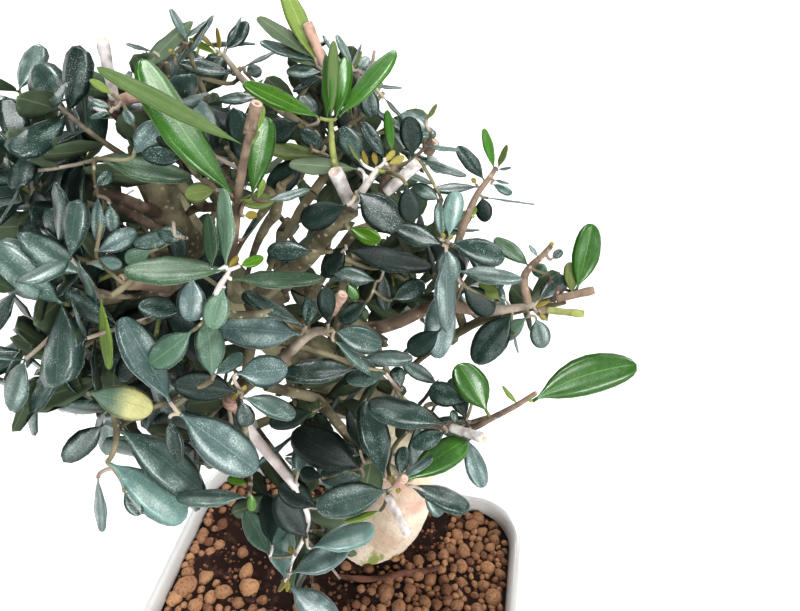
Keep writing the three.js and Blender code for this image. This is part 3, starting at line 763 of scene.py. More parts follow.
def leafPairs(path, pairs, size, kind, dice, start=0.15):
    # pairs of leaves back from the tip, each at right angles to the pair before
    first = dice() * math.pi
    made = 0
    for pair in range(pairs):
        back = growth["internode"] * (pairs - 1 - pair) * draw(dice, "internode")
        share = 1 - back / path.length
        if share < start:
            continue
        at, axis = path.at(share), path.heading(share)
        across = squareTo(axis)
        opening = growth["leafAngle"] - growth["closing"] * pair / pairs
        opening += growth["angleSpread"] * (dice() - 0.5)
        pairSize = size * draw(dice, "pairSize")
        for half in range(2):
            roll = first + pair * math.pi / 2 + half * math.pi + growth["pairTurn"] * (dice() - 0.5)
            length = pairSize * draw(dice, "leafSize")
            width = length * draw(dice, "leafWidth")
            outward = Matrix.Rotation(roll, 3, axis) @ across
            for fold in growth["folds"]:
                # where there is no room the leaf opens less or more, or is left out
                angle = math.radians(opening + fold)
                along = axis * math.cos(angle) + outward * math.sin(angle)
                marks = [at + along * length * s for s in leafMarks]
                edges = seenRules["leafEdge"], seenRules["gapEdge"]
                if isClear(marks) and not any(isSpoilt(mark, *edges) for mark in marks):
                    face = axis * math.sin(angle) - outward * math.cos(angle)
                    addLeaf(at, along, (face + up * growth["rise"]).normalized(), length, width, kind, dice)
                    made += 1
                    break
    return made


def isFreeLine(path):
    # whether the outer part of a grown twig leaves the photo's own leaves uncovered, but for one spot
    count, first = seenRules["twigSpots"]
    return sum(isSpoilt(spot, 0, 0) for spot in path.spots(count)[first:]) < 2


def growSideTwig(path, side, kind, dice):
    share = sideTwigs["from"] + sideTwigs["step"] * side + sideTwigs["jitter"] * dice()
    at, axis = path.at(share), path.heading(share)
    outward = Matrix.Rotation(dice() * 2 * math.pi, 3, axis) @ squareTo(axis)
    heading = (axis * sideTwigs["onward"] + outward * sideTwigs["outward"]).normalized()
    length = draw(dice, "sideLength")
    bend = at + heading * length * 0.5 + outward * sideTwigs["arch"]
    twig = Path(bentLine(at, bend, at + heading * length, sideTwigs["lineSteps"]))
    size = growth["leafLength"] * sideTwigs["leafSize"]
    if isFreeLine(twig) and leafPairs(twig, sideTwigs["pairs"], size, kind, dice, sideTwigs["start"]):
        twigKind = "green" if dice() < sideTwigs["green"] else "grey"
        addTwig(twig, *twigEnds["side"], twigKind, sideTwigs["steps"])


def growMasses():
    for index, mass in enumerate(masses):
        addTwig(mass["stemPath"], *twigEnds["stem"], "bark")
        for order in range(mass["shoots"]):
            foot, tip, points, dice = massShoot(mass, index, order)
            tip = tip + (foot - tip).normalized() * growth["tipRoom"]  # the last leaves make up the reach
            path = archedPath(foot, tip, points)
            kind = "dark" if dice() < growth["darkShare"] else "grey"
            if not isFreeLine(path):
                continue
            addTwig(path, *twigEnds["shoot"], "bark")
            leafPairs(path, growth["pairs"], growth["leafLength"], kind, dice)
            for side in range(sideTwigs["count"]):
                growSideTwig(path, side, kind, dice)


keepInView([toPixel(trunkPath.at(share)) for share in camera["seenTrunk"]], camera["seenTrunkWidth"])
growSeenLimbs()
growSeenShoots()
growSeenStubs()
seenCount = len(leaves)
growMasses()
for leaf in leaves[seenCount:]:
    out = leaf["root"] + leaf["along"] * leaf["length"] * 0.5 - crown["centre"]
    if Vector(o / h for o, h in zip(out, crown["half"])).length < growth["shadeWithin"]:
        leaf["kind"] = "shade"  # leaves deep in the crown are darker
print("leaves:", len(leaves), "of them placed by the photo:", seenCount, "twigs:", len(twigs))


# materials
class Wiring:
    # short calls for adding and joining the nodes of a tree
    def __init__(self, tree):
        self.tree = tree

    def fill(self, socket, value):
        if isinstance(value, bpy.types.NodeSocket):
            self.tree.links.new(value, socket)
        else:
            socket.default_value = value

    def node(self, kind, inputs=None, **settings):
        made = self.tree.nodes.new(kind)
        for key, value in settings.items():
            setattr(made, key, value)
        for key, value in (inputs or {}).items():
            self.fill(made.inputs[key], value)
        return made.outputs


class Shading(Wiring):
    def math(self, operation, a, b=0.0, clamp=False):
        return self.node("ShaderNodeMath", {0: a, 1: b}, operation=operation, use_clamp=clamp)[0]

    def times(self, a, b):
        return self.math("MULTIPLY", a, b)

    def plus(self, a, b, clamp=False):
        return self.math("ADD", a, b, clamp)

    def offCentre(self, value):
        return self.math("ABSOLUTE", self.math("SUBTRACT", value, 0.5))

    def mix(self, share, a, b):
        a, b = (v if isinstance(v, bpy.types.NodeSocket) else (*v, 1) for v in (a, b))
        return self.node("ShaderNodeMix", {"Factor": share, 6: a, 7: b}, data_type="RGBA")[2]

    def ramp(self, value, low, high):
        return self.node("ShaderNodeMapRange", {"Value": value, "From Min": low, "From Max": high},
                         interpolation_type="SMOOTHSTEP")[0]

    def noise(self, where, scale, detail=3.0):
        return self.node("ShaderNodeTexNoise", {"Vector": where, "Scale": scale, "Detail": detail})[0]

    def spots(self, where, scale):
        # how far the nearest of scattered points is
        return self.node("ShaderNodeTexVoronoi", {"Vector": where, "Scale": scale})["Distance"]

    def attribute(self, name, output="Fac"):
        return self.node("ShaderNodeAttribute", attribute_name=name)[output]

    def height(self, where):
        return self.node("ShaderNodeSeparateXYZ", {0: where})[2]


class Paint(Shading):
    # a material open for wiring, in the object's own coordinates
    def __init__(self, name, color, roughness, **sockets):
        self.material = bpy.data.materials.new(name)
        self.material.use_nodes = True
        super().__init__(self.material.node_tree)
        self.shader = self.tree.nodes["Principled BSDF"].inputs
        self.shader["Base Color"].default_value = (*color, 1)
        self.shader["Roughness"].default_value = roughness
        for socket, value in sockets.items():
            self.shader[socket.replace("_", " ")].default_value = value
        self.place = self.node("ShaderNodeTexCoord")["Object"]

    def grain(self, scale, detail=3.0):
        return self.noise(self.place, scale, detail)

    def blade(self):
        # shares along and across a leaf's blade
        uv = self.node("ShaderNodeSeparateXYZ", {0: self.node("ShaderNodeUVMap", uv_map="UVMap")[0]})
        return uv[0], uv[1]

    def finish(self, color, strength=0.0, distance=0.0, relief=None):
        self.fill(self.shader["Base Color"], color)
        if relief:
            bump = {"Strength": strength, "Distance": distance, "Height": relief}
            self.fill(self.shader["Normal"], self.node("ShaderNodeBump", bump)[0])
        return self.material


def leafMaterial(name, deep, pale, marginAndRimLight, rib, roughness, speckle,
                 coat=0.0, pebble=0.4, bloomAndSheen=0.0, tip=None):
    # colour varies by leaf and along the blade; pale margin with painted rim light, midrib, silvery scales
    p = Paint(name, deep, roughness, Coat_Weight=coat, Coat_Roughness=0.27)
    along, across = p.blade()
    side = p.offCentre(across)
    tone = p.attribute("tone")
    patches = p.grain(160.0, 2.0)
    color = p.mix(p.plus(p.times(tone, 0.6), p.times(patches, 0.5), clamp=True), deep, pale)
    if tip:
        color = p.mix(p.ramp(p.plus(along, p.times(patches, 0.3)), 0.42, 0.85), color, tip)
    veins = {"Vector": p.place, "Scale": 130.0, "Distortion": 9.0, "Detail": 2.0}
    color = p.mix(p.times(p.node("ShaderNodeTexWave", veins)[1], 0.12), color, pale)
    color = p.mix(p.times(p.ramp(side, 0.03, 0.0), 0.55), color, rib)
    # the pale margin: partly the leaf's own edge, partly painted rim light
    color = p.mix(p.times(p.ramp(side, 0.465, 0.5), 0.8), color, marginAndRimLight)
    dots = p.spots(p.place, 2500.0)
    cloud = p.ramp(p.grain(300.0), 0.36, 0.7)
    color = p.mix(p.times(p.times(p.ramp(dots, 0.38, 0.12), cloud), speckle), color, scaleAndSheenTints["dots"])
    if bloomAndSheen:
        # a dull silvery film on the crest of each half: waxy bloom and painted sheen, more on one half
        sheenCrest = p.times(p.ramp(side, 0.03, 0.2), p.ramp(side, 0.45, 0.28))
        length = p.times(p.ramp(along, 0.12, 0.4), p.ramp(along, 0.97, 0.7))
        # one half of the blade is painted as lit and gets more sheen; the leaf's tone picks which
        half = p.times(p.math("GREATER_THAN", across, 0.5), p.math("SUBTRACT", tone, 0.5))
        litHalfShare = p.plus(p.times(half, 1.4), 0.62, clamp=True)
        cloudy = p.ramp(p.grain(150.0, 4.0), 0.36, 0.62)
        sheenFilm = p.times(p.times(sheenCrest, length), p.times(cloudy, litHalfShare))
        sheenFilm = p.times(sheenFilm, p.plus(p.times(p.ramp(dots, 0.8, 0.1), 0.5), 0.5))
        color = p.mix(p.times(sheenFilm, bloomAndSheen), color, scaleAndSheenTints["sheenFilm"])
    p.fill(p.shader["Roughness"], p.plus(p.times(p.grain(700.0), 0.24), roughness - 0.12))
    return p.finish(color, pebble, 0.0003, p.plus(p.grain(1300.0), p.times(dots, 0.7)))


scaleAndSheenTints = {"dots": (0.54, 0.63, 0.6), "sheenFilm": (0.53, 0.63, 0.59)}
# kinds are partly own tone, partly painted light: shade is painted shade, pale and silvery a painted sheen
leafLooks = {
    "dark": {"deep": (0.003, 0.013, 0.01), "pale": (0.015, 0.058, 0.044), "marginAndRimLight": (0.22, 0.32, 0.27),
        "rib": (0.04, 0.09, 0.065), "roughness": 0.36, "speckle": 0.62, "coat": 0.75, "bloomAndSheen": 0.42},
    "shade": {"deep": (0.001, 0.007, 0.005), "pale": (0.004, 0.027, 0.018), "marginAndRimLight": (0.08, 0.14, 0.11),
        "rib": (0.014, 0.04, 0.026), "roughness": 0.5, "speckle": 0.16, "coat": 0.1, "bloomAndSheen": 0.06},
    "grey": {"deep": (0.015, 0.041, 0.035), "pale": (0.082, 0.15, 0.126), "marginAndRimLight": (0.354, 0.447, 0.395),
        "rib": (0.107, 0.176, 0.127), "roughness": 0.4, "speckle": 0.65, "coat": 0.9, "bloomAndSheen": 0.7},
    "soft": {"deep": (0.042, 0.1, 0.07), "pale": (0.165, 0.272, 0.185), "marginAndRimLight": (0.442, 0.572, 0.416),
        "rib": (0.234, 0.364, 0.195), "roughness": 0.44, "speckle": 0.45, "coat": 0.5, "bloomAndSheen": 0.3},
    "pale": {"deep": (0.029, 0.067, 0.06), "pale": (0.124, 0.195, 0.194), "marginAndRimLight": (0.552, 0.641, 0.575),
        "rib": (0.195, 0.292, 0.234), "roughness": 0.38, "speckle": 0.7, "coat": 0.9, "bloomAndSheen": 1.0},
    "silver": {"deep": (0.08, 0.18, 0.16), "pale": (0.3, 0.44, 0.41), "marginAndRimLight": (0.55, 0.64, 0.58),
        "rib": (0.2, 0.3, 0.25), "roughness": 0.38, "speckle": 0.7, "coat": 0.9, "bloomAndSheen": 1.4},
    "moss": {"deep": (0.013, 0.044, 0.02), "pale": (0.068, 0.14, 0.066), "marginAndRimLight": (0.3, 0.4, 0.28),
        "rib": (0.13, 0.2, 0.105), "roughness": 0.46, "speckle": 0.4, "coat": 0.4, "bloomAndSheen": 0.3},
    "olive": {"deep": (0.082, 0.112, 0.026), "pale": (0.192, 0.254, 0.078), "marginAndRimLight": (0.365, 0.42, 0.166),
        "rib": (0.309, 0.354, 0.133), "roughness": 0.5, "speckle": 0.0},
    "young": {"deep": (0.007, 0.05, 0.004), "pale": (0.075, 0.229, 0.023), "marginAndRimLight": (0.208, 0.416, 0.104),
        "rib": (0.156, 0.37, 0.078), "roughness": 0.32, "speckle": 0.25, "coat": 0.6, "pebble": 0.12,
        "bloomAndSheen": 0.1},
    "vivid": {"deep": (0.028, 0.114, 0.002), "pale": (0.097, 0.214, 0.013), "marginAndRimLight": (0.273, 0.5, 0.091),
        "rib": (0.237, 0.473, 0.073), "roughness": 0.3, "speckle": 0.0, "coat": 0.6, "pebble": 0.12},
    "lime": {"deep": (0.108, 0.188, 0.02), "pale": (0.229, 0.311, 0.081), "marginAndRimLight": (0.49, 0.612, 0.245),
        "rib": (0.469, 0.632, 0.204), "roughness": 0.42, "speckle": 0.0},
    "limeDeep": {"deep": (0.053, 0.113, 0.02), "pale": (0.148, 0.217, 0.08),
        "marginAndRimLight": (0.312, 0.458, 0.208), "rib": (0.177, 0.243, 0.014), "roughness": 0.55, "speckle": 0.0,
        "pebble": 0.1},
    "turning": {"deep": (0.055, 0.102, 0.077), "pale": (0.138, 0.221, 0.153),
        "marginAndRimLight": (0.586, 0.537, 0.244), "rib": (0.293, 0.323, 0.146), "roughness": 0.5, "speckle": 0.2,
        "tip": (0.5, 0.48, 0.24)},
    "gold": {"deep": (0.174, 0.122, 0.011), "pale": (0.36, 0.319, 0.084), "marginAndRimLight": (0.617, 0.561, 0.187),
        "rib": (0.468, 0.421, 0.093), "roughness": 0.5, "speckle": 0.0},
}
leafMaterials = {kind: leafMaterial(f"leaf_{kind}", **look) for kind, look in leafLooks.items()}


underLook = {"plain": (0.25, 0.31, 0.22), "shades": ((0.065, 0.1, 0.055), (0.16, 0.215, 0.13)),
             "rib": (0.3, 0.34, 0.2)}


def underMaterial():
    # dull and pale, with a paler rib
    p = Paint("leaf_underside", underLook["plain"], 0.7)
    rib = p.times(p.ramp(p.offCentre(p.blade()[1]), 0.04, 0.0), 0.7)
    color = p.mix(p.grain(300.0), *underLook["shades"])
    return p.finish(p.mix(rib, color, underLook["rib"]))


def twigMaterial(name, deep, pale, spot, roughness=0.75):
    # streaked bark with lighter spots
    p = Paint(name, pale, roughness)
    color = p.mix(p.ramp(p.grain(130.0, 4.0), 0.35, 0.65), deep, pale)
    color = p.mix(p.times(p.ramp(p.spots(p.place, 420.0), 0.28, 0.12), 0.6), color, spot)
    return p.finish(color, 0.5, 0.0004, p.grain(800.0, 4.0))


underside = underMaterial()
twigLooks = {  # dark and light bark, spots, roughness
    "grey": ((0.17, 0.135, 0.105), (0.44, 0.385, 0.32), (0.56, 0.51, 0.43), 0.75),
    "green": ((0.13, 0.16, 0.045), (0.36, 0.4, 0.14), (0.5, 0.5, 0.3), 0.6),
    "brown": ((0.09, 0.06, 0.044), (0.31, 0.235, 0.175), (0.52, 0.44, 0.36), 0.7),
    "pink": ((0.3, 0.17, 0.125), (0.6, 0.42, 0.34), (0.7, 0.58, 0.5), 0.75),
    "lilac": ((0.42, 0.365, 0.35), (0.72, 0.68, 0.665), (0.4, 0.3, 0.26), 0.7),
    # the darker bark of the wood inside the crown: its own colour, partly painted shade
    "bark": ((0.095, 0.082, 0.052), (0.29, 0.26, 0.17), (0.52, 0.48, 0.36), 0.8),
}
twigMaterials = {kind: twigMaterial(f"twig_{kind}", *look) for kind, look in twigLooks.items()}
print("materials ready")


# mesh helpers
def addObject(name, data):
    made = bpy.data.objects.new(name, data)
    bpy.context.scene.collection.objects.link(made)
    return made


def meshObject(name, vertices, faces, material=None, smooth=True, edges=()):
    mesh = bpy.data.meshes.new(name)
    mesh.from_pydata([tuple(v) for v in vertices], edges, faces)
    mesh.update()
    if smooth:
        mesh.shade_smooth()
    else:
        mesh.shade_flat()
    if material:
        mesh.materials.append(material)
    return addObject(name, mesh)


def setAttribute(thing, name, kind, values, domain="POINT"):
    # one number for each point or face, or for a vector or colour all its numbers in turn
    field = {"FLOAT_VECTOR": "vector", "FLOAT_COLOR": "color"}.get(kind, "value")
    thing.data.attributes.new(name, kind, domain).data.foreach_set(field, values)


def tubeFaces(start, rings, count):
    # quads between rings of points, and a face at each end
    faces = []
    for first in range(start, start + (rings - 1) * count, count):
        for i in range(count):
            a, b = first + i, first + (i + 1) % count
            faces.append((a, b, b + count, a + count))
    faces.append(tuple(reversed(range(start, start + count))))
    faces.append(tuple(range(start + (rings - 1) * count, start + rings * count)))
    return faces


def drop(things):
    for thing in list(things):
        bpy.data.objects.remove(thing, do_unlink=True)


def applyNodes(source, name):
    # the evaluated result as a plain mesh object; the source goes
    graph = bpy.context.evaluated_depsgraph_get()
    mesh = bpy.data.meshes.new_from_object(source.evaluated_get(graph), depsgraph=graph)
    mesh.name = name
    drop([source])
    return addObject(name, mesh)


class Growing(Wiring):
    # a Geometry Nodes tree with named inputs, built node by node
    def __init__(self, name, inputs):
        super().__init__(bpy.data.node_groups.new(name, "GeometryNodeTree"))
        sockets = self.tree.interface
        for way in ("INPUT", "OUTPUT"):
            sockets.new_socket("Geometry", in_out=way, socket_type="NodeSocketGeometry")
        self.ids = {label: sockets.new_socket(label, in_out="INPUT", socket_type=kind).identifier
                    for label, kind in inputs.items()}
        self.input = self.tree.nodes.new("NodeGroupInput").outputs

    def attribute(self, name, kind):
        return self.node("GeometryNodeInputNamedAttribute", {"Name": name}, data_type=kind)["Attribute"]

    def pick(self, shapes, which, turn, size):
        # one of the shapes on each point
        parts = self.node("GeometryNodeCollectionInfo", {
            "Collection": shapes, "Separate Children": True, "Reset Children": True})["Instances"]
        rotation = self.node("FunctionNodeEulerToRotation", {0: turn})[0]
        return self.node("GeometryNodeInstanceOnPoints", {
            "Points": self.input["Geometry"], "Instance": parts, "Pick Instance": True,
            "Instance Index": which, "Rotation": rotation, "Scale": size})[0]

    def realize(self, geometry, material):
        real = self.node("GeometryNodeRealizeInstances", {"Geometry": geometry})[0]
        return self.node("GeometryNodeSetMaterial", {"Geometry": real, "Material": material})[0]

    def end(self, geometry):
        self.tree.links.new(geometry, self.tree.nodes.new("NodeGroupOutput").inputs[0])

    def use(self, thing, values):
        modifier = thing.modifiers.new(self.tree.name, "NODES")
        modifier.node_group = self.tree
        for label, value in values.items():
            modifier[self.ids[label]] = value


# leaves
blade = {"rows": [0, 0.07, 0.19, 0.38, 0.6, 0.8, 0.93, 1], "columns": [-1, -0.5, 0, 0.5, 1],
         "nearRows": [0, 0.06, 0.12, 0.21, 0.33, 0.47, 0.61, 0.74, 0.85, 0.93, 0.98, 1],
         "nearColumns": [-1, -0.7, -0.34, 0, 0.34, 0.7, 1], "rise": 2.1, "shoulder": 0.8,
         "thickness": 0.02, "stalk": 0.07, "stalkWidth": 0.09, "groove": 0.02,
         "wave": 0.012, "wavesAlong": 14, "wavesAcross": 2, "waveShift": 40}
bladeShapes = [  # widest share, fold, bend down, twist in degrees, cup, fullness of the tip, sideways sweep
    (0.54, 0.07, 0.1, 0, 0.11, 2.3, 0.0), (0.58, 0.06, 0.15, 8, 0.13, 2.6, 0.05),
    (0.5, 0.08, 0.03, -6, 0.1, 2.0, -0.05), (0.62, 0.05, 0.2, -10, 0.13, 2.8, 0.08),
    (0.55, 0.09, -0.05, 5, 0.09, 2.3, -0.08), (0.52, 0.05, 0.12, 12, 0.13, 2.1, 0.0),
]
sweptShapes = {1: (0.56, 0.06, 0.08, 0, 0.1, 2.3, 0.34), -1: (0.56, 0.06, 0.08, 0, 0.1, 2.3, -0.34)}


def bladeMesh(name, rows, columns, widest, fold, bend, twist, cup, fullness, sweep):
    # a closed blade one unit long and one wide, with an upper and a lower side that share the rim

    def place(t, s, lift):
        if t < widest:
            part = max(t - blade["stalk"], 0) / (widest - blade["stalk"])
            half = 0.5 * max(math.sin(part * math.pi / 2) ** blade["shoulder"], blade["stalkWidth"])
        else:
            half = 0.5 * (1 - ((t - widest) / (1 - widest)) ** fullness) ** 0.5
        turn = math.radians(twist) * t
        full = half * 2
        y = s * half + sweep * 4 * t * (1 - t) * 0.5
        z = (fold * abs(s) - cup * s * s - blade["groove"] * (1 - abs(s))) * full
        phase = t * blade["wavesAlong"] + s * blade["wavesAcross"] + widest * blade["waveShift"]
        z += blade["wave"] * math.sin(phase) * abs(s) * full
        return (t, y * math.cos(turn) - z * math.sin(turn),
                y * math.sin(turn) + z * math.cos(turn) - bend * t * t + lift * blade["thickness"] / 2)
    vertices, shared, ids = [], {}, {}
    lastRow, lastColumn = len(rows) - 1, len(columns) - 1
    for lift in (1, -1):
        for i, t in enumerate(rows):
            for j, s in enumerate(columns):
                isRim = j in (0, lastColumn) or i == lastRow
                key = (0 if isRim else lift, i, j if i < lastRow else 0)
                if key not in shared:
                    shared[key] = len(vertices)
                    vertices.append(place(t, s, 0 if isRim else lift))
                ids[lift, i, j] = shared[key]
    faces, isUnder, uvs = [], [], []
    for lift in (1, -1):
        for i in range(lastRow):
            for j in range(lastColumn):
                corners = [(i, j), (i + 1, j), (i + 1, j + 1), (i, j + 1)][::lift]
                own = [ids[(lift, *corner)] for corner in corners]
                kept = [n for n in range(4) if own[n] != own[n - 1]]
                faces.append([own[n] for n in kept])
                uvs += [(rows[corners[n][0]], (columns[corners[n][1]] + 1) / 2) for n in kept]
                isUnder.append(lift < 0)
    foot = [ids[1, 0, j] for j in range(lastColumn + 1)]
    foot += [ids[-1, 0, j] for j in range(lastColumn - 1, 0, -1)]
    faces.append(foot)
    uvs += [(0, 0.5)] * len(foot)
    isUnder.append(False)
    made = meshObject(name, vertices, faces)
    made.data.uv_layers.new(name="UVMap").data.foreach_set("uv", [c for uv in uvs for c in uv])
    setAttribute(made, "under", "BOOLEAN", isUnder, "FACE")
    return made


def shapeCollection(name, shapes, make):
    holder = bpy.data.collections.new(name)
    for i, shape in enumerate(shapes):
        made = make(f"{name}_{i}", *shape)
        bpy.context.scene.collection.objects.unlink(made)
        holder.objects.link(made)
    return holder


def leafTree():
    t = Growing("leaves on twigs", {"Shapes": "NodeSocketCollection", "Upper": "NodeSocketMaterial",
                                    "Under": "NodeSocketMaterial"})
    placed = t.pick(t.input["Shapes"], t.attribute("shape", "INT"), t.attribute("turn", "FLOAT_VECTOR"),
                    t.attribute("stretch", "FLOAT_VECTOR"))
    t.end(t.node("GeometryNodeSetMaterial", {
        "Geometry": t.realize(placed, t.input["Upper"]), "Selection": t.attribute("under", "BOOLEAN"),
        "Material": t.input["Under"]})[0])
    return t


plainBlades = shapeCollection("blade", [
    (blade["rows"], blade["columns"], *shape) for shape in bladeShapes], bladeMesh)
nearBlades = shapeCollection("near_blade", [
    (blade["nearRows"], blade["nearColumns"], *shape) for shape in [*bladeShapes, *sweptShapes.values()]],
    bladeMesh)
leafNodes = leafTree()


def makeLeaves(kind, isSeen):
    own = [leaf for leaf in leaves if leaf["kind"] == kind and leaf["isSeen"] == isSeen]
    source = meshObject(f"{kind}_points", [leaf["root"] * mm for leaf in own], [])
    swept = {way: len(bladeShapes) + i for i, way in enumerate(sweptShapes)}
    turns, stretches, shapes = [], [], []
    for leaf in own:
        x = leaf["along"].normalized()
        y = leaf["face"].cross(x).normalized()
        turns += Matrix((x, y, x.cross(y))).transposed().to_euler()[:]
        length, width = leaf["length"], leaf["width"]
        stretches += [length * mm, width * mm, min(length, width * blade["rise"]) * mm]
        shapes.append(swept.get(leaf["sweep"], leaf["shape"] % len(bladeShapes)))
    setAttribute(source, "turn", "FLOAT_VECTOR", turns)
    setAttribute(source, "stretch", "FLOAT_VECTOR", stretches)
    setAttribute(source, "shape", "INT", shapes)
    setAttribute(source, "tone", "FLOAT", [leaf["tone"] for leaf in own])
    leafNodes.use(source, {"Shapes": nearBlades if isSeen else plainBlades,
                           "Upper": leafMaterials[kind], "Under": underside})
    return applyNodes(source, f"leaves_{kind}_near" if isSeen else f"leaves_{kind}")


leafPieces = [makeLeaves(kind, isSeen) for kind in leafLooks for isSeen in (False, True)
              if any(leaf["kind"] == kind and leaf["isSeen"] == isSeen for leaf in leaves)]
drop([*plainBlades.objects, *nearBlades.objects])
print("leaf pieces:", [(piece.name, len(piece.data.polygons)) for piece in leafPieces])


# twigs
twigSides = 8


def twigTree():
    t = Growing("twigs along lines", {"Sides": "NodeSocketInt", "Bark": "NodeSocketMaterial"})
    line = t.node("GeometryNodeMeshToCurve", {"Mesh": t.input["Geometry"]})[0]
    circle = {"Resolution": t.input["Sides"], "Radius": 1.0}
    ring = t.node("GeometryNodeCurvePrimitiveCircle", circle)["Curve"]
    tube = t.node("GeometryNodeCurveToMesh", {
        "Curve": line, "Profile Curve": ring, "Scale": t.attribute("thick", "FLOAT"), "Fill Caps": True})[0]
    t.end(t.realize(tube, t.input["Bark"]))
    return t


twigNodes = twigTree()


def makeTwigs(kind):
    vertices, edges, radii = [], [], []
    for twig in twigs:
        if twig["kind"] == kind:
            start = len(vertices)
            vertices += [point * mm for point in twig["points"]]
            radii += [radius * mm for radius in twig["radii"]]
            edges += [(i, i + 1) for i in range(start, len(vertices) - 1)]
    source = meshObject(f"{kind}_lines", vertices, [], edges=edges)
    setAttribute(source, "thick", "FLOAT", radii)
    twigNodes.use(source, {"Sides": twigSides, "Bark": twigMaterials[kind]})
    return applyNodes(source, f"twigs_{kind}")


twigPieces = [makeTwigs(kind) for kind in twigMaterials if any(twig["kind"] == kind for twig in twigs)]
print("twig pieces:", [(piece.name, len(piece.data.polygons)) for piece in twigPieces])


# cut ends of pruned twigs
stubLook = {
    "sides": 20, "steps": 14, "size": 0.88, "bulge": 0.13, "bumps": (0.9, 1.8),
    "collar": 0.14, "collarAt": 0.82, "collarFade": 9,
    # rings on the cut face: size, depth under the rim, how much is bare wood
    "face": [(0.94, 0.12, 0.0), (0.82, 0.04, 1.0), (0.492, 0.04, 0.8), (0.25, 0.35, 0.1)],
    "plain": (0.6, 0.5, 0.45), "furrow": (0.14, 0.09, 0.07), "wood": ((0.72, 0.6, 0.5), (0.45, 0.33, 0.27)),
}


def cutMaterial():
    # pale ends with a bark ring, and bark in the tint of the stub's kind
    p = Paint("cut_wood", stubLook["plain"], 0.7)
    streaks = p.ramp(p.grain(380.0, 5.0), 0.35, 0.7)
    skin = p.mix(p.times(streaks, 0.55), p.attribute("bark", "Color"), stubLook["furrow"])
    wood = p.mix(p.grain(900.0), *stubLook["wood"])
    return p.finish(p.mix(p.attribute("cut"), skin, wood), 0.6, 0.0005, p.grain(700.0, 5.0))


def makeStubs():
    look = stubLook
    rings = [(s / look["steps"], 1.0, 0, 0.0) for s in range(look["steps"] + 1)]
    rings += [(1.0, *ring) for ring in look["face"]]
    vertices, faces, barks, cuts = [], [], [], []
    for number, stub in enumerate(stubs):
        axis = (stub["finish"] - stub["start"]).normalized()
        side = squareTo(axis)
        across = axis.cross(side)
        faces += tubeFaces(len(vertices), len(rings), look["sides"])
        for share, scale, sink, cut in rings:
            for i in range(look["sides"]):
                angle = 2 * math.pi * i / look["sides"]
                out = side * math.cos(angle) + across * math.sin(angle)
                spot = stub["start"].lerp(stub["finish"], share) - axis * (stub["radius"] * sink)
                bumps = spot * look["bumps"][0] + out * look["bumps"][1] + Vector((number, 0, 0))
                swell = noise.noise(bumps) * look["bulge"]
                collar = look["collar"] * math.exp(-((share - look["collarAt"]) * look["collarFade"]) ** 2)
                radius = stub["radius"] * look["size"] * (scale + swell + (collar if scale == 1 else 0))
                vertices.append((spot + out * radius) * mm)
                barks += (*twigLooks[stub["kind"]][1], 1)
                cuts.append(cut)
    made = meshObject("cut_stubs", vertices, faces, cutMaterial())
    setAttribute(made, "bark", "FLOAT_COLOR", barks)
    setAttribute(made, "cut", "FLOAT", cuts)
    return made


stubPiece = makeStubs()
print("cut stubs:", len(stubs))


# trunk and boughs
barkSizes = {
    "sides": 48, "steps": 170, "boughSides": 20, "boughSteps": 44, "relief": 0.35, "boughRelief": 0.16,
    "below": 3, "slim": 0.54, "slimRun": (1.3, 0.7), "taper": 2.4, "collar": 1.1, "collarFade": 7,
    "buttress": 5, "buttressHeight": 7, "seed": 5, "nextSeed": 3.7,
    "flutes": (0.04, 0.03), "fluteTwist": (5, 4), "lobeDepth": 0.35, "lobeTurn": 0.6,
    "knotFrom": 0.32, "knotShift": 9, "layers": 4,
    # bark's grain across and along the limb, and how much it stands out
    "grain": (0.11, 0.05, 0.9), "fine": (0.5, 0.24, 0.35), "knots": (0.16, 0.12, 6),
}
barkLook = {
    "tints": {
        "chalk": (0.81, 0.72, 0.61), "tan": (0.64, 0.515, 0.4), "pink": (0.66, 0.43, 0.36),
        "crack": (0.3, 0.22, 0.15), "pits": (0.5, 0.39, 0.28), "bough": (0.28, 0.255, 0.17),
        "trunk": (0.46, 0.43, 0.28), "furrow": (0.12, 0.105, 0.064), "moss": (0.3, 0.34, 0.1),
        "lichen": (0.6, 0.55, 0.44),
    },
    "levels": {"olive": (0.12, 0.19), "moss": (0.075, 0.058)},  # heights in metres where each comes in
}


def frames(path, steps, nearby=0.004):
    # points, normals and binormals that turn with the path, started as the source starts them
    shares = [i / steps for i in range(steps + 1)]
    headings = [(path.at(s + nearby) - path.at(s - nearby)).normalized() for s in shares]
    first = headings[0]
    axis = min(range(3), key=lambda i: abs(first[i]))
    helper = first.cross(Vector([1.0 if i == axis else 0.0 for i in range(3)])).normalized()
    normals = [first.cross(helper)]
    for a, b in zip(headings, headings[1:]):
        normals.append((a.rotation_difference(b) @ normals[-1]).normalized())
    return path.spots(steps), normals, [h.cross(n) for h, n in zip(headings, normals)], shares


def trunkRadius(share, angle):
    size = trunkSizes
    plain = size["tipRadius"] + (size["footRadius"] - size["tipRadius"]) * (1 - share) ** size["taper"]
    height = max(share * trunkPath.length - (size["soilTop"] - size["line"][0][2]), 0)
    flare = size["flare"] * math.exp(-height / size["flareHeight"])
    lobe = 1 + barkSizes["lobeDepth"] * math.cos(size["lobes"] * angle + barkSizes["lobeTurn"])
    two, three = barkSizes["flutes"]
    twist, back = barkSizes["fluteTwist"]
    flute = 1 + two * math.cos(2 * angle + twist * share) + three * math.cos(3 * angle - back * share)
    return plain * flute + flare * lobe


layering = (1.0, 2.0)  # how fast finer bumps fade, and how much finer each layer of them is


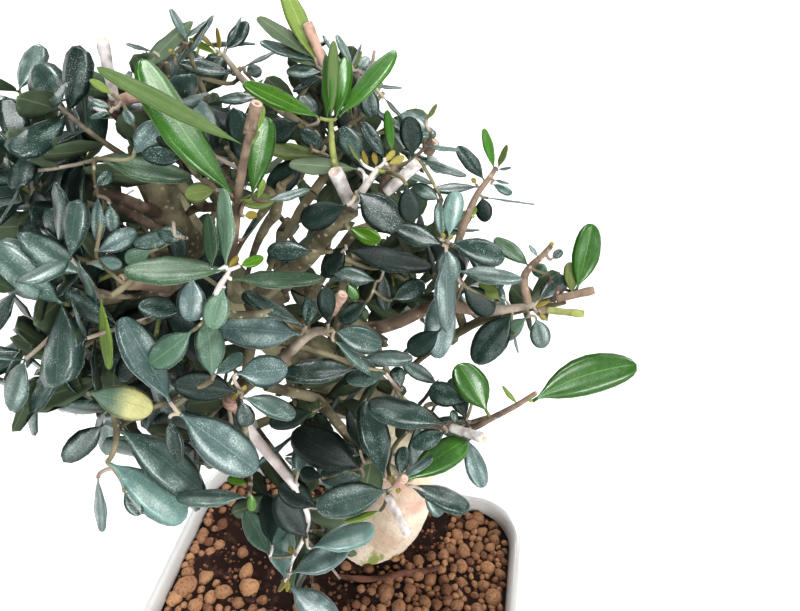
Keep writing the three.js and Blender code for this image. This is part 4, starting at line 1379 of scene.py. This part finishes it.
def relief(spot, depth, seed):
    # how far the bark stands out: grain, finer grain and knots

    def stretched(kind, shift=0):
        across, along, _ = barkSizes[kind]
        return Vector((spot.x * across + shift, spot.y * across, spot.z * along + seed))
    grain = noise.fractal(stretched("grain"), *layering, barkSizes["layers"]) * barkSizes["grain"][2]
    fine = noise.noise(stretched("fine")) * barkSizes["fine"][2]
    knot = max(noise.noise(stretched("knots", barkSizes["knotShift"])) - barkSizes["knotFrom"], 0)
    return depth * (grain + fine) + knot * depth * barkSizes["knots"][2]


def limbMesh(path, radiusAt, sides, steps, depth, seed, vertices, faces):
    faces += tubeFaces(len(vertices), steps + 1, sides)
    for point, normal, binormal, share in zip(*frames(path, steps)):
        for i in range(sides):
            angle = 2 * math.pi * i / sides
            out = normal * math.sin(angle) - binormal * math.cos(angle)
            radius = radiusAt(share, angle)
            radius += relief(point + out * radius, depth, seed)
            vertices.append((point + out * radius) * mm)


def barkMaterial():
    # pale and pinkish below, olive above, with cracks, moss at the foot and lichen spots
    tints, levels = barkLook["tints"], barkLook["levels"]
    p = Paint("olive_bark", (0.4, 0.34, 0.26), 0.8)
    height = p.height(p.place)
    low = p.mix(p.ramp(p.grain(45.0, 4.0), 0.4, 0.62), tints["chalk"], tints["tan"])
    low = p.mix(p.ramp(p.grain(30.0), 0.55, 0.68), low, tints["pink"])
    tall = p.node("ShaderNodeMapping", {"Vector": p.place, "Scale": (1.0, 1.0, 0.3)})[0]
    cracks = p.ramp(p.offCentre(p.noise(tall, 260.0, 4.0)), 0.03, 0.0)
    low = p.mix(p.times(cracks, 0.2), low, tints["crack"])
    low = p.mix(p.times(p.ramp(p.grain(420.0, 4.0), 0.56, 0.66), 0.35), low, tints["pits"])
    # boughs, inside the crown, take a darker tint than the trunk: painted shade
    high = p.mix(p.attribute("trunk"), tints["bough"], tints["trunk"])
    high = p.mix(p.ramp(p.grain(90.0, 5.0), 0.35, 0.65), tints["furrow"], high)
    rise = p.plus(height, p.times(p.grain(25.0), 0.04))
    color = p.mix(p.ramp(rise, *levels["olive"]), low, high)
    moss = p.times(p.ramp(p.grain(110.0, 4.0), 0.5, 0.62), p.ramp(height, *levels["moss"]))
    color = p.mix(moss, color, tints["moss"])
    lichen = p.times(p.ramp(p.spots(p.place, 330.0), 0.26, 0.12), 0.45)
    return p.finish(p.mix(lichen, color, tints["lichen"]), 0.6, 0.0008, p.grain(500.0, 6.0))


def spreadFoot(vertices):
    # the trunk's foot reaches further out on the camera's left
    foot = Vector(trunkSizes["line"][1])
    for i, vertex in enumerate(vertices):
        out = vertex / mm - foot
        rise = max(out.z, 0)
        out.z = 0
        side = max(-aside.dot(out.normalized()), 0)
        push = barkSizes["buttress"] * side ** 2 * math.exp(-rise / barkSizes["buttressHeight"])
        vertices[i] = vertex + out.normalized() * push * mm


def makeBark():
    sizes = barkSizes
    vertices, faces = [], []
    first = (trunkSizes["soilTop"] - sizes["below"] - trunkSizes["line"][0][2]) / trunkPath.length
    shown = Path(trunkPath.spots(growth["trunkSteps"], first))
    limbMesh(shown, lambda share, angle: trunkRadius(first + (1 - first) * share, angle),
             sizes["sides"], sizes["steps"], sizes["relief"], 0, vertices, faces)
    spreadFoot(vertices)
    trunkCount = len(vertices)
    for index, mass in enumerate(masses):
        if mass["leaves"] is None:
            continue
        path = boughPath(mass["leaves"], mass["tip"])
        foot = growth["boughFoot"] + growth["boughPerLength"] * path.length

        def radius(share, angle, foot=foot):
            collar = sizes["collar"] * math.exp(-share * sizes["collarFade"])
            stretch, bias = sizes["slimRun"]
            slim = 1 - sizes["slim"] * math.sin(math.pi * min(share * stretch, 1) ** bias) ** 2
            return (foot * (1 - share) ** sizes["taper"] + growth["stemRadius"] * share + collar) * slim
        limbMesh(path, radius, sizes["boughSides"], sizes["boughSteps"], sizes["boughRelief"],
                 index * sizes["nextSeed"] + sizes["seed"], vertices, faces)
    made = meshObject("bark", vertices, faces, barkMaterial())
    setAttribute(made, "trunk", "FLOAT", [float(i < trunkCount) for i in range(len(vertices))])
    return made


bark = makeBark()
print("bark:", len(bark.data.polygons))


# pot
potSizes = {
    "width": 155, "depth": 120, "corner": 22, "cornerSteps": 14, "sideSteps": 8,
    "outside": [(12, 0), (11.4, 5), (9.4, 7.5), (3, 47), (0.6, 50.5), (0, 54), (0.3, 58.2), (1.7, 60)],
    "inside": [(15.5, 8), (12.5, 11), (5.6, 52), (4.8, 57.4), (3.3, 60)],
}
potLook = {"plain": (0.53, 0.53, 0.525), "shades": ((0.5, 0.5, 0.495), (0.57, 0.57, 0.565)),
           "specks": (0.5, 0.44, 0.36)}


def roundedRing(inset, height):
    # points round the pot's rounded outline, moved in by the inset
    ring = []
    radius = potSizes["corner"] - inset
    halfX, halfY = potSizes["width"] / 2 - potSizes["corner"], potSizes["depth"] / 2 - potSizes["corner"]
    centres = [(halfX, halfY), (-halfX, halfY), (-halfX, -halfY), (halfX, -halfY)]
    for corner, (x, y) in enumerate(centres):
        for i in range(potSizes["cornerSteps"] + 1):
            angle = (corner + i / potSizes["cornerSteps"]) * math.pi / 2
            ring.append(Vector((x + radius * math.cos(angle), y + radius * math.sin(angle), height)))
        nextX, nextY = centres[(corner + 1) % 4]
        last = ring[-1]
        angle = (corner + 1) * math.pi / 2
        target = Vector((nextX + radius * math.cos(angle), nextY + radius * math.sin(angle), height))
        for i in range(1, potSizes["sideSteps"]):
            ring.append(last.lerp(target, i / potSizes["sideSteps"]))
    return ring


def ringStack(name, rings, material):
    vertices = [point * mm for ring in rings for point in ring]
    return meshObject(name, vertices, tubeFaces(0, len(rings), len(rings[0])), material)


def glazeMaterial():
    p = Paint("white_glaze", potLook["plain"], 0.12, Coat_Weight=0.6, Coat_Roughness=0.05)
    color = p.mix(p.ramp(p.grain(14.0), 0.3, 0.7), *potLook["shades"])
    color = p.mix(p.times(p.ramp(p.spots(p.place, 160.0), 0.07, 0.02), 0.35), color, potLook["specks"])
    p.fill(p.shader["Roughness"], p.plus(p.times(p.grain(60.0), 0.12), 0.08))
    return p.finish(color, 0.15, 0.001, p.grain(35.0, 2.0))


def makePot():
    # between the corners of the profile more rings follow a smooth line, so that rim and foot are soft
    profile = [Vector((inset, height, 0)) for inset, height in
               potSizes["outside"] + potSizes["inside"][::-1]]
    rings = [roundedRing(p.x, max(p.y, 0)) for p in smoothLine(profile, 4)]
    pot = ringStack("pot_body", rings, glazeMaterial())
    for face in pot.data.polygons:
        face.use_smooth = len(face.vertices) == 4
    return pot


pot = makePot()
print("pot:", len(pot.data.polygons))


# soil
soilSizes = {
    "foot": (12.5, 9), "shoulder": (6.3, 46), "inset": 5.5, "top": 55,  # how far in, how high
    "rings": 26, "relief": 1.6, "bumps": 0.09, "sunk": 1.5, "mound": 4.0, "moundAt": (10, 34),
    "moundSpread": 500, "humus": 1.25, "humusAt": (-26, 20), "humusReach": (50, 36), "spotAt": (35, 38),
    "spotSpread": 130, "trunkAt": (8, 35), "trunkRoom": 330, "layers": 5, "bumpSeed": 2,
    "tone": (0.3, 0.3, 90),  # middle, swing and fineness of its light and dark
    "patches": (0.04, 5), "spread": (1.25, 1.3, 0.3),  # granules all over, fewer on humus, in patches
}
soilLooks = {  # dark, light and spots, roughness
    "humus": ((0.016, 0.009, 0.008), (0.055, 0.03, 0.024), (0.09, 0.048, 0.036), 1.0),
    "granules": ((0.18, 0.092, 0.058), (0.47, 0.285, 0.165), (0.38, 0.22, 0.135), 0.85),
}
grainSizes = {
    "seed": 7, "tries": 20000, "smallest": 1.6, "largest": 3.4, "smaller": 1.3, "edge": 0.8, "inward": 0.98,
    "coarseFrom": -30, "coarseShare": 0.25, "coarser": 1.7, "sink": 0.3, "lift": 0.2, "overlap": 0.64,
    "chips": 1500, "chipSize": 0.8, "bulge": 0.3, "bulgeScale": 1.1, "narrow": 0.87, "tone": 0.8,
    "mostTurn": 6.3,
    "shapes": [(1.0, 0.8), (4.0, 0.9), (8.0, 0.7), (12.0, 0.95)],  # seed, how flat
}
# Granules that the photo shows apart: x, y and radius in pixels, tone from red-brown 0 to tan 1.
photoGrains = [
    (188, 586, 15, 0.5), (206, 578, 9, 0.7), (173, 570, 8, 0.4), (168, 599, 9, 0.8), (196, 606, 9, 0.6),
    (211, 597, 8, 0.7), (249, 588, 13, 1.0), (246, 571, 9, 0.8), (220, 545, 8, 0.6), (242, 553, 7, 0.3),
    (197, 536, 7, 0.3), (191, 527, 7, 0.4), (238, 604, 7, 0.4), (262, 600, 6, 0.2), (222, 524, 6, 0.0),
    (316, 588, 6, 0.3), (386, 592, 11, 0.4), (410, 590, 8, 0.4), (424, 603, 9, 0.4), (399, 607, 9, 0.5),
    (430, 580, 8, 0.5), (444, 581, 7, 0.3), (418, 561, 7, 0.4), (431, 556, 6, 0.2), (444, 555, 7, 0.4),
    (462, 566, 8, 0.6), (488, 567, 8, 0.8), (462, 583, 7, 0.4), (484, 586, 8, 0.5), (504, 597, 10, 0.5),
    (503, 574, 7, 0.4), (457, 605, 8, 0.5), (476, 609, 8, 0.3), (458, 535, 8, 0.6), (486, 514, 8, 0.5),
    (470, 525, 8, 0.4), (464, 551, 9, 0.6), (478, 548, 7, 0.3), (494, 540, 7, 0.4), (500, 556, 6, 0.3),
    (459, 513, 7, 0.1), (482, 532, 7, 0.5), (346, 566, 6, 0.5), (498, 522, 6, 0.4), (437, 604, 7, 0.2),
]
# Bare humus beside the trunk: x, y and radius in pixels.
photoHumus = [(434, 520, 17), (426, 536, 16), (414, 551, 11), (444, 506, 12)]
photoRoot = {
    "width": 6, "line": [(340, 577), (362, 580), (384, 579), (408, 573), (428, 571), (444, 568)],
    "sides": 10, "steps": 30, "lineSteps": 6, "relief": 0.2, "seed": 3, "lift": 0.6,
    "thinnest": 0.55, "swell": 0.6, "swellRun": (0.1, 0.8),
    "look": ((0.07, 0.028, 0.02), (0.2, 0.09, 0.065), (0.3, 0.16, 0.11)),
}


def soilMaterial(name, deep, pale, tan, roughness):
    p = Paint(name, deep, roughness, Specular_IOR_Level=0.15)
    color = p.mix(p.attribute("tone"), deep, pale)
    color = p.mix(p.ramp(p.grain(240.0, 5.0), 0.5, 0.72), color, tan)
    pits = p.times(p.ramp(p.grain(900.0, 4.0), 0.5, 0.34), 0.4)
    return p.finish(p.mix(pits, color, (0.05, 0.025, 0.015)), 0.5, 0.0006, p.grain(900.0, 6.0))


def nearness(x, y, place, spread):
    # 1 at the place, less and less away from it
    return math.exp(-((x - place[0]) ** 2 + (y - place[1]) ** 2) / spread)


def soilHeight(x, y):
    size = soilSizes
    place = Vector((x * size["bumps"], y * size["bumps"], size["bumpSeed"]))
    bumps = noise.fractal(place, *layering, size["layers"])
    mound = size["mound"] * nearness(x, y, size["moundAt"], size["moundSpread"])
    return size["top"] - size["sunk"] + size["relief"] * bumps + mound


def grainShare(x, y):
    # how thickly the granules lie: dense at the right, sparse on the humus by the trunk
    size = soilSizes
    (midX, midY), (reachX, reachY) = size["humusAt"], size["humusReach"]
    humus = size["humus"] * math.exp(-((x - midX) / reachX) ** 4 - ((y - midY) / reachY) ** 4)
    humus += nearness(x, y, size["spotAt"], size["spotSpread"])
    scale, seed = size["patches"]
    full, onHumus, patchy = size["spread"]
    patch = noise.noise(Vector((x * scale, y * scale, seed)))
    return min(max(full - onHumus * humus + patchy * patch, 0.0), 1)


def makeSoil():
    size = soilSizes
    rings = [roundedRing(*size["foot"]), roundedRing(*size["shoulder"])]
    outer = roundedRing(size["inset"], size["top"])
    for i in range(size["rings"]):
        share = 1 - i / size["rings"]
        spots = [(point.x * share, point.y * share) for point in outer]
        rings.append([Vector((x, y, soilHeight(x, y))) for x, y in spots])
    soil = ringStack("soil_bed", rings, soilMaterial("humus", *soilLooks["humus"]))
    tone, span, scale = size["tone"]
    tones = [tone + span * noise.noise(vertex.co * scale) for vertex in soil.data.vertices]
    setAttribute(soil, "tone", "FLOAT", tones)
    return soil


def onSoil(x, y):
    # where a pixel's line meets the soil
    ray = pixelRay(x, y)
    level = soilSizes["top"]
    for _ in range(4):
        spot = camera["place"] + ray * ((level - camera["place"].z) / ray.z)
        level = soilHeight(spot.x, spot.y)
    return spot


def isOnSoil(x, y, edge):
    size = soilSizes["inset"] + edge
    halfX, halfY = potSizes["width"] / 2 - size, potSizes["depth"] / 2 - size
    corner = potSizes["corner"] - size
    outX, outY = max(abs(x) - halfX + corner, 0), max(abs(y) - halfY + corner, 0)
    return math.hypot(outX, outY) < corner


def isBare(spot):
    seenX, seenY, _ = toPixel(spot)
    return any(math.hypot(seenX - x, seenY - y) < radius for x, y, radius in photoHumus)


def planGrains():
    # the photo's own granules, then as many more as fit, then crumbs
    size = grainSizes
    dice = seededDice(size["seed"])
    grains = []
    for x, y, radius, tone in photoGrains:
        spot = onSoil(x, y)
        radius = lineRadius(radius * 2, toPixel(spot)[2])
        while not isOnSoil(spot.x, spot.y, radius * size["edge"]):
            spot = Vector((spot.x * size["inward"], spot.y * size["inward"], spot.z))
        grains.append((spot, radius, tone))
    trunkX, trunkY = soilSizes["trunkAt"]

    def anywhere():
        return (dice() - 0.5) * potSizes["width"], (dice() - 0.5) * potSizes["depth"]
    for _ in range(size["tries"]):
        x, y = anywhere()
        radius = size["smallest"] + (size["largest"] - size["smallest"]) * dice() ** size["smaller"]
        if x < size["coarseFrom"] and dice() < size["coarseShare"]:
            radius *= size["coarser"]  # the left side has coarser ones
        share, tone = dice(), dice()
        isInTrunk = (x - trunkX) ** 2 + (y - trunkY) ** 2 < soilSizes["trunkRoom"]
        if isInTrunk or share > grainShare(x, y) or not isOnSoil(x, y, radius * size["edge"]):
            continue
        spot = Vector((x, y, soilHeight(x, y)))
        if isBare(spot):
            continue
        if all((spot - other).length > (radius + wide) * size["overlap"] for other, wide, _ in grains):
            grains.append((spot, radius, tone * size["tone"]))
    for _ in range(size["chips"]):
        x, y = anywhere()
        radius, tone = size["chipSize"] * draw(dice, "chipSize"), draw(dice, "chipTone")
        if isOnSoil(x, y, 1):
            grains.append((Vector((x, y, soilHeight(x, y))), radius, tone))
    return grains


def grainMesh(name, seed, flat):
    rock = bmesh.new()
    bmesh.ops.create_icosphere(rock, subdivisions=2, radius=1)
    for vertex in rock.verts:
        x, y, z = vertex.co
        place = vertex.co * grainSizes["bulgeScale"] + Vector((seed, 0, 0))
        swell = 1 + grainSizes["bulge"] * noise.noise(place)
        vertex.co = Vector((x * swell, y * swell * grainSizes["narrow"], z * swell * flat))
    mesh = bpy.data.meshes.new(name)
    rock.to_mesh(mesh)
    rock.free()
    mesh.shade_smooth()
    return addObject(name, mesh)


def grainTree():
    t = Growing("granules on soil", {"Grains": "NodeSocketCollection", "Look": "NodeSocketMaterial",
                                     "Seed": "NodeSocketInt", "Kinds": "NodeSocketInt"})
    anyTurn = {"Min": (0, 0, 0), "Max": [grainSizes["mostTurn"]] * 3, "Seed": t.input["Seed"]}
    turn = t.node("FunctionNodeRandomValue", anyTurn, data_type="FLOAT_VECTOR")["Value"]
    anyKind = {4: 0, 5: t.input["Kinds"], "Seed": t.input["Seed"]}
    kind = t.node("FunctionNodeRandomValue", anyKind, data_type="INT")[2]
    placed = t.pick(t.input["Grains"], kind, turn, t.attribute("size", "FLOAT"))
    t.end(t.realize(placed, t.input["Look"]))
    return t


def makeGranules():
    grains = planGrains()
    look = soilMaterial("granules", *soilLooks["granules"])
    shapes = shapeCollection("grain", grainSizes["shapes"], grainMesh)
    sink, lift = grainSizes["sink"], up * grainSizes["lift"]
    spots = [(spot - up * radius * sink + lift) * mm for spot, radius, _ in grains]
    source = meshObject("grain_points", spots, [])
    setAttribute(source, "size", "FLOAT", [radius * mm for _, radius, _ in grains])
    setAttribute(source, "tone", "FLOAT", [tone for _, _, tone in grains])
    values = {"Grains": shapes, "Look": look, "Seed": grainSizes["seed"], "Kinds": len(shapes.objects) - 1}
    grainTree().use(source, values)
    made = applyNodes(source, "soil_granules")
    drop(shapes.objects)
    return made


def makeRoot():
    size = photoRoot
    spots = [onSoil(x, y) + up * size["lift"] for x, y in size["line"]]
    thick = lineRadius(size["width"], toPixel(spots[0])[2])
    first, run = size["swellRun"]

    def radius(share, angle):
        return thick * (size["thinnest"] + size["swell"] * math.sin(math.pi * (first + run * share)))
    vertices, faces = [], []
    limbMesh(Path(smoothLine(spots, size["lineSteps"])), radius, size["sides"], size["steps"],
             size["relief"], size["seed"], vertices, faces)
    return meshObject("surface_root", vertices, faces, twigMaterial("root_bark", *size["look"]))


soil = makeSoil()
granules = makeGranules()
root = makeRoot()
print("soil granules:", len(granules.data.polygons))


# what stands for what
boughNodes = [name for name in frame["nodes"] if name.startswith("bough_")]
foliageNodes = [name for name in frame["nodes"] if name.startswith("foliage_")]
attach(pot, "root")
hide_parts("pot")
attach(soil, "root")
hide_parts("soil")
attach(granules, "root")
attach(root, "root")
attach(bark, "root")
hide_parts("trunk", *boughNodes)
for piece in twigPieces + [stubPiece]:
    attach(piece, "root")
for piece in leafPieces:
    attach(piece, "root")
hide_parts(*foliageNodes)


# floor, light and camera
studio = {
    "floor": ((0.82, 0.82, 0.815), (0.86, 0.86, 0.855)), "reach": 9, "sky": 0.2, "horizon": 1.0,
    "horizonTop": 0.5, "horizonFoot": 0.05, "gamma": 0.8, "nearest": 0.01,
    "lamps": {  # where it shines from, width in degrees, strength
        "key": ((-0.12, -0.18, 0.9), 16, 2.0), "backRight": ((0.45, 0.7, 0.65), 22, 1.5),
        "backLeft": ((-0.4, 0.65, 0.7), 22, 1.5), "low": ((0.5, -0.6, 0.3), 28, 2.9),
    },
}


def makeFloor():
    p = Paint("pale_floor", studio["floor"][0], 0.9)
    material = p.finish(p.mix(p.grain(6.0), *studio["floor"]))
    far = studio["reach"]
    corners = [(-far, -far, 0), (far, -far, 0), (far, far, 0), (-far, far, 0)]
    floor = meshObject("floor", corners, [(0, 1, 2, 3)], material, smooth=False)


def makeSky():
    # bright near the horizon, dimmer overhead
    world = bpy.data.worlds.new("studio")
    world.use_nodes = True
    background = world.node_tree.nodes["Background"].inputs
    background[0].default_value = (1, 1, 1, 1)
    s = Shading(world.node_tree)
    height = s.height(s.node("ShaderNodeTexCoord")["Generated"])
    low = s.ramp(height, studio["horizonTop"], studio["horizonFoot"])
    s.fill(background[1], s.plus(s.times(low, studio["horizon"] - studio["sky"]), studio["sky"]))
    bpy.context.scene.world = world


def makeLamps():
    for name, (place, width, strength) in studio["lamps"].items():
        light = bpy.data.lights.new(name, "SUN")
        light.angle = math.radians(width)
        light.energy = strength
        lamp = addObject(name, light)
        lamp.location = place
        lamp.rotation_euler = (-Vector(place)).to_track_quat("-Z", "Y").to_euler()


def makeCamera():
    lens = bpy.data.cameras.new("view")
    lens.sensor_width = camera["sensor"]
    lens.lens = camera["focal"] / camera["width"] * camera["sensor"]
    lens.clip_start = studio["nearest"]
    view = addObject("view", lens)
    turned = Matrix((aside, above, -ahead)).transposed().to_4x4()
    view.matrix_world = Matrix.Translation(camera["place"] * mm) @ turned
    scene = bpy.context.scene
    scene.camera = view
    scene.view_settings.view_transform = "Standard"
    scene.view_settings.gamma = studio["gamma"]


makeFloor()
makeSky()
makeLamps()
makeCamera()
